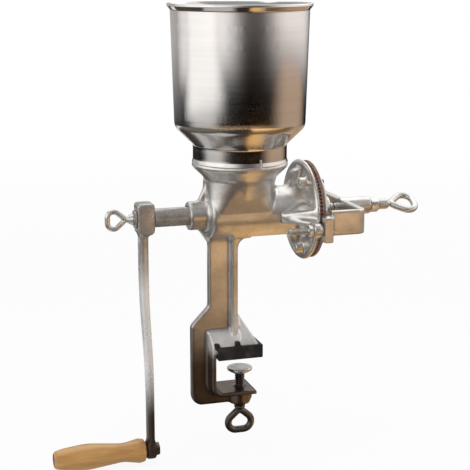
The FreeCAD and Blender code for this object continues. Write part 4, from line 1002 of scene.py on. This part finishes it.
@dataclass
class TableClamp(SubAssembly):
    """The clamp screw and its swivel pad.

    Attributes:
        screw_centre: a point on the clamp screw's axis, in metres.
        screw_thread: the clamp screw's thread.
    """

    screw_centre: Point = (0.0, 0.0, -0.04)
    screw_thread: Thread = Thread((-56.0, -20.0), (-55.5, -21.5), crest=5.0, pitch=2.0, depth=0.9)

    def build(self) -> None:
        """Build and dress the clamp screw."""
        screw = self.merged("clamp_screw")
        Lathe(Axis.UPRIGHT, self.screw_centre).cut(screw, self.screw_thread)
        self.piece("clamp_eye_screw", screw, Coat.DARK, Body.CLAMP_SCREW, ["clamp_screw"])
        self.dress(Coat.BRIGHT, "clamp_swivel_pad")


@dataclass(frozen=True)
class Softbox:
    """An area lamp that looks at a point.

    Attributes:
        name: the lamp's name.
        place: where it stands, in metres.
        target: what it looks at, in metres.
        size: width and height, in metres.
        power: power in watts.
        colour: colour of its light.
    """

    name: str
    place: Point
    target: Point
    size: Pair
    power: float
    colour: Colour = (1.0, 1.0, 1.0)

    def hang(self) -> None:
        """Put the lamp in the scene, out of sight of the camera and the metal."""
        lamp = bpy.data.lights.new(self.name, "AREA")
        lamp.shape = "RECTANGLE"
        lamp.size, lamp.size_y = self.size
        lamp.energy = self.power
        lamp.color = self.colour
        thing = bpy.data.objects.new(self.name, lamp)
        thing.location = self.place
        gaze = Vector(self.target) - Vector(self.place)
        thing.rotation_euler = gaze.to_track_quat("-Z", "Y").to_euler()
        thing.visible_camera = thing.visible_glossy = False
        bpy.context.scene.collection.objects.link(thing)


@dataclass(frozen=True)
class Fade:
    """A colour that changes along one axis.

    Attributes:
        axis: the axis, X, Y or Z.
        stops: places along it, in metres, and the colours there.
    """

    axis: str
    stops: tuple[tuple[float, Colour], ...]

    def paint(self, recipe: Recipe) -> Socket:
        """Add the fade to a recipe.

        Args:
            recipe: the recipe that receives it.

        Returns:
            The fading colour.
        """
        along = recipe.along(self.axis)
        colour: Socket | Colour = self.stops[0][1]
        for (low, _), (high, after) in zip(self.stops, self.stops[1:]):
            colour = recipe.blend(recipe.span(along, low, high), colour, after)
        return colour


def set_out(name: str, bm: Shape, material: Material) -> bpy.types.Object:
    """Put a piece of the studio in the scene.

    Args:
        name: its name.
        bm: its mesh, which is freed.
        material: its material.

    Returns:
        The object.
    """
    mesh = bpy.data.meshes.new(name)
    bm.to_mesh(mesh)
    bm.free()
    mesh.materials.append(material)
    thing = bpy.data.objects.new(name, mesh)
    bpy.context.scene.collection.objects.link(thing)
    return thing


def hide_from_view(thing: bpy.types.Object) -> None:
    """Leave a piece of the studio to reflections alone."""
    thing.visible_camera = thing.visible_diffuse = thing.visible_shadow = False


@dataclass(frozen=True)
class Card:
    """A level card about the set that only shiny surfaces see.

    Attributes:
        name: the card's name.
        across: where it starts and ends along X, in metres.
        deep: where it starts and ends along Y, in metres.
        height: how high it lies, in metres.
        fade: the colours on it.
    """

    name: str
    across: Pair
    deep: Pair
    height: float
    fade: Fade

    def stand(self) -> None:
        """Put the card in the scene."""
        (left, right), (near, far) = self.across, self.deep
        corners = ((left, near), (right, near), (right, far), (left, far))
        bm = bmesh.new()
        bm.faces.new([bm.verts.new((*corner, self.height)) for corner in corners])
        recipe = Recipe(self.name)
        recipe.shine(self.fade.paint(recipe))
        hide_from_view(set_out(self.name, bm, recipe.material))


@dataclass(frozen=True)
class Glow:
    """A soft patch of light on the surround.

    Attributes:
        heading_deg: where its middle lies, turned from +X towards +Y.
        core_deg: half its width at full strength.
        edge_deg: half its width where it ends.
        none: height where it starts, in metres.
        full: height where it has its full strength, in metres.
        colour: its light at full strength.
        fall: how steeply it fades towards its ends.
    """

    heading_deg: float
    core_deg: float
    edge_deg: float
    none: float
    full: float
    colour: Colour
    fall: float = 2.2

    def paint(self, recipe: Recipe, reach: float) -> Socket:
        """Add the glow to a recipe.

        Args:
            recipe: the recipe that receives it.
            reach: radius of the surround, in metres.

        Returns:
            The light of the glow.
        """
        heading = math.radians(self.heading_deg)
        middle = (math.cos(heading) / reach, math.sin(heading) / reach, 0.0)
        facing = recipe.vector("DOT_PRODUCT", recipe.place, middle)
        core, edge = (math.cos(math.radians(half)) for half in (self.core_deg, self.edge_deg))
        across = recipe.span(facing, edge, core, eased=True)
        upright = recipe.span(recipe.along("Z"), self.none, self.full, eased=True)
        light = recipe.nodes.new("ShaderNodeVectorMath")
        light.operation = "SCALE"
        light.inputs[0].default_value = self.colour
        share = recipe.math("POWER", recipe.math("MULTIPLY", across, upright), self.fall)
        recipe.links.new(share, light.inputs["Scale"])
        return light.outputs["Vector"]


@dataclass(frozen=True)
class Surround:
    """A round wall about the set that only shiny surfaces see.

    Attributes:
        reach: its radius, in metres.
        foot: height of its lower edge, in metres.
        top: height of its upper edge, in metres.
        glows: the soft lights on it, of which the brightest shows.
        haze: a faint light that is added everywhere it reaches.
        steps: how many flat sides it has.
    """

    reach: float
    foot: float
    top: float
    glows: tuple[Glow, ...]
    haze: Glow
    steps: int = 96

    def stand(self) -> None:
        """Put the wall in the scene."""
        bm = bmesh.new()
        ends = [bm.verts.new((self.reach, 0.0, height)) for height in (self.foot, self.top)]
        edge = bm.edges.new(ends)
        bmesh.ops.spin(bm, geom=[*ends, edge], cent=(0.0, 0.0, 0.0), axis=(0.0, 0.0, 1.0),
                       dvec=(0.0, 0.0, 0.0), angle=math.tau, steps=self.steps, use_merge=True,
                       use_duplicate=False)
        recipe = Recipe("surround")
        most = self.glows[0].paint(recipe, self.reach)
        for glow in self.glows[1:]:
            most = recipe.vector("MAXIMUM", most, glow.paint(recipe, self.reach))
        recipe.shine(recipe.vector("ADD", most, self.haze.paint(recipe, self.reach)))
        hide_from_view(set_out("surround", bm, recipe.material))


@dataclass(frozen=True)
class Studio:
    """A pale floor, soft lamps, cards and a wall for the metal to reflect, and the camera.

    Attributes:
        floor_height: height of the floor, just under the clamp screw's eye, in metres.
        floor_half: half the floor's width, in metres.
        floor_colour: colour of the floor.
        near_glow: how much of the floor's own white shows near the mill.
        glow_reach: where that white starts to grow and where it is full, in metres.
        world_colour: colour of the light all round.
        camera_place: where the camera stands, in metres.
        camera_heading: the level direction it looks in.
        camera_dip_deg: how far it looks down.
        camera_lens: focal length, in millimetres.
        camera_sensor: width of the sensor, in millimetres.
        camera_sight: how far it sees, in metres.
        softboxes: the lamps.
        cards: level cards that stand in for the room.
        surround: a wall that does the same.
    """

    floor_height: float = -0.108
    floor_half: float = 40.0
    floor_colour: Colour = (0.92, 0.92, 0.92)
    near_glow: float = 0.92
    glow_reach: Pair = (0.7, 2.2)
    world_colour: Colour = (0.42, 0.42, 0.42)
    camera_place: Point = (-0.3594, -1.1176, 0.3745)
    camera_heading: Pair = (0.3024, 0.9532)
    camera_dip_deg: float = 12.29
    camera_lens: float = 94.2
    camera_sensor: float = 36.0
    camera_sight: float = 120.0
    softboxes: tuple[Softbox, ...] = (
        Softbox("side_box", (-1.4, -0.15, 0.66), (0.0, 0.0, 0.30), (1.0, 1.3), 6.5),
        Softbox("top_box", (0.1, -0.3, 1.6), (0.0, 0.0, 0.1), (1.6, 1.6), 14.0),
        Softbox("right_box", (1.4, -0.4, 0.6), (0.0, 0.0, 0.15), (0.8, 1.2), 1.7, (1.0, 0.95, 0.89)),
    )
    cards: tuple[Card, ...] = (
        Card("brown_board", (0.05, 1.24), (-1.3, 0.9), -0.105, Fade("Y", (
            (-1.05, (1.80, 1.10, 0.54)), (-0.80, (0.88, 0.54, 0.25)), (-0.52, (0.70, 0.43, 0.19)),
            (-0.42, (0.24, 0.15, 0.075)), (-0.12, (0.20, 0.125, 0.07)), (0.02, (0.50, 0.34, 0.20))))),
        Card("dark_board", (-1.24, 0.05), (-1.3, 0.9), -0.105, Fade("X", (
            (-0.55, (0.20, 0.18, 0.16)), (-0.30, (0.045, 0.038, 0.032)),
            (-0.02, (0.045, 0.036, 0.030)), (0.05, (0.22, 0.13, 0.06))))),
        Card("foot_card", (-0.30, 0.18), (-0.22, 0.30), -0.104, Fade("X", (
            (-0.12, (0.60, 0.59, 0.58)), (-0.07, (0.035, 0.030, 0.025)), (0.025, (0.035, 0.028, 0.022)),
            (0.050, (0.95, 0.54, 0.20)), (0.11, (0.90, 0.54, 0.22)), (0.17, (0.42, 0.34, 0.27))))),
        Card("sky_card", (-0.8, 2.2), (-0.2, 2.2), 1.3, Fade("Y", (
            (-0.2, (0.42, 0.42, 0.42)), (0.05, (1.6, 1.58, 1.56))))),
    )
    surround: Surround = Surround(reach=1.25, foot=-0.107, top=1.0, glows=(
        Glow(187.0, 4.0, 42.0, -0.09, -0.05, (0.60, 0.59, 0.58)),
        Glow(187.0, 16.0, 58.0, 0.00, 0.065, (1.29, 1.27, 1.25)),
        Glow(187.0, 34.0, 92.0, 0.03, 0.16, (1.02, 1.00, 0.99)),
        Glow(102.0, 20.0, 60.0, -0.09, 0.23, (0.50, 0.49, 0.48)),
        Glow(-8.0, 8.0, 60.0, -0.107, -0.10, (0.52, 0.38, 0.27)),
        Glow(-6.0, 14.0, 84.0, 0.00, 0.24, (0.95, 0.90, 0.86)),
        Glow(72.0, 30.0, 60.0, -0.01, -0.05, (0.50, 0.46, 0.41)),
        Glow(38.0, 26.0, 66.0, 0.30, 0.55, (1.5, 1.48, 1.45)),
        Glow(-103.0, 45.0, 75.0, -0.045, -0.085, (1.5, 0.93, 0.48)),
    ), haze=Glow(-75.0, 60.0, 170.0, 0.0, 0.24, (0.15, 0.135, 0.13)))

    def build(self) -> None:
        """Set up the floor, the lamps, the cards, the wall, the world and the camera."""
        self.lay_floor()
        for softbox in self.softboxes:
            softbox.hang()
        for card in self.cards:
            card.stand()
        self.surround.stand()
        self.fill_world()
        self.aim_camera()

    def lay_floor(self) -> None:
        """Lay a wide floor that shows white and keeps the mill's shadow."""
        bm = bmesh.new()
        bmesh.ops.create_grid(bm, x_segments=1, y_segments=1, size=self.floor_half,
                              matrix=Matrix.Translation((0.0, 0.0, self.floor_height)))
        recipe = Recipe("pale_floor")
        recipe.shader.inputs["Base Color"].default_value = (*self.floor_colour, 1.0)
        recipe.constants({"Roughness": 0.9, "Specular IOR Level": 0.0})
        path = recipe.nodes.new("ShaderNodeLightPath")
        glossy = recipe.math("MAXIMUM", path.outputs["Is Camera Ray"], path.outputs["Is Glossy Ray"])
        seen = recipe.math("MAXIMUM", glossy, path.outputs["Is Transmission Ray"])
        away = recipe.nodes.new("ShaderNodeVectorMath")
        away.operation = "LENGTH"
        recipe.links.new(recipe.place, away.inputs[0])
        glowing = recipe.span(away.outputs["Value"], *self.glow_reach, self.near_glow, 1.0)
        glow = recipe.nodes.new("ShaderNodeEmission")
        mix = recipe.nodes.new("ShaderNodeMixShader")
        recipe.links.new(recipe.math("MULTIPLY", seen, glowing), mix.inputs["Fac"])
        recipe.links.new(recipe.shader.outputs["BSDF"], mix.inputs[1])
        recipe.links.new(glow.outputs["Emission"], mix.inputs[2])
        recipe.links.new(mix.outputs["Shader"], recipe.nodes["Material Output"].inputs["Surface"])
        set_out("floor", bm, recipe.material)

    def fill_world(self) -> None:
        """Fill the world with an even grey light."""
        world = bpy.data.worlds.new("studio")
        world.use_nodes = True
        world.node_tree.nodes["Background"].inputs["Color"].default_value = (*self.world_colour, 1.0)
        bpy.context.scene.world = world

    def aim_camera(self) -> None:
        """Stand the camera where the mill was seen from."""
        lens = bpy.data.cameras.new("camera")
        lens.lens = self.camera_lens
        lens.sensor_width = self.camera_sensor
        lens.clip_end = self.camera_sight
        camera = bpy.data.objects.new("camera", lens)
        dip = math.radians(self.camera_dip_deg)
        level = math.cos(dip)
        gaze = Vector((self.camera_heading[0] * level, self.camera_heading[1] * level, -math.sin(dip)))
        camera.location = self.camera_place
        camera.rotation_euler = gaze.to_track_quat("-Z", "Y").to_euler()
        bpy.context.scene.collection.objects.link(camera)
        bpy.context.scene.camera = camera


def main() -> None:
    """Build the mill's sub-assemblies in order, then the studio."""
    logging.basicConfig(level=logging.INFO, format="%(name)s: %(message)s")
    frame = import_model()
    bpy.context.scene.view_settings.view_transform = "Standard"
    coats = {finish.coat: finish.make() for finish in FINISHES}
    for assembly in (CastFrame, SpunHopper, GrindingHead, AdjustingYoke, Crank, TableClamp):
        assembly(frame, coats).build()
    Studio().build()


if __name__ == "__main__":
    main()
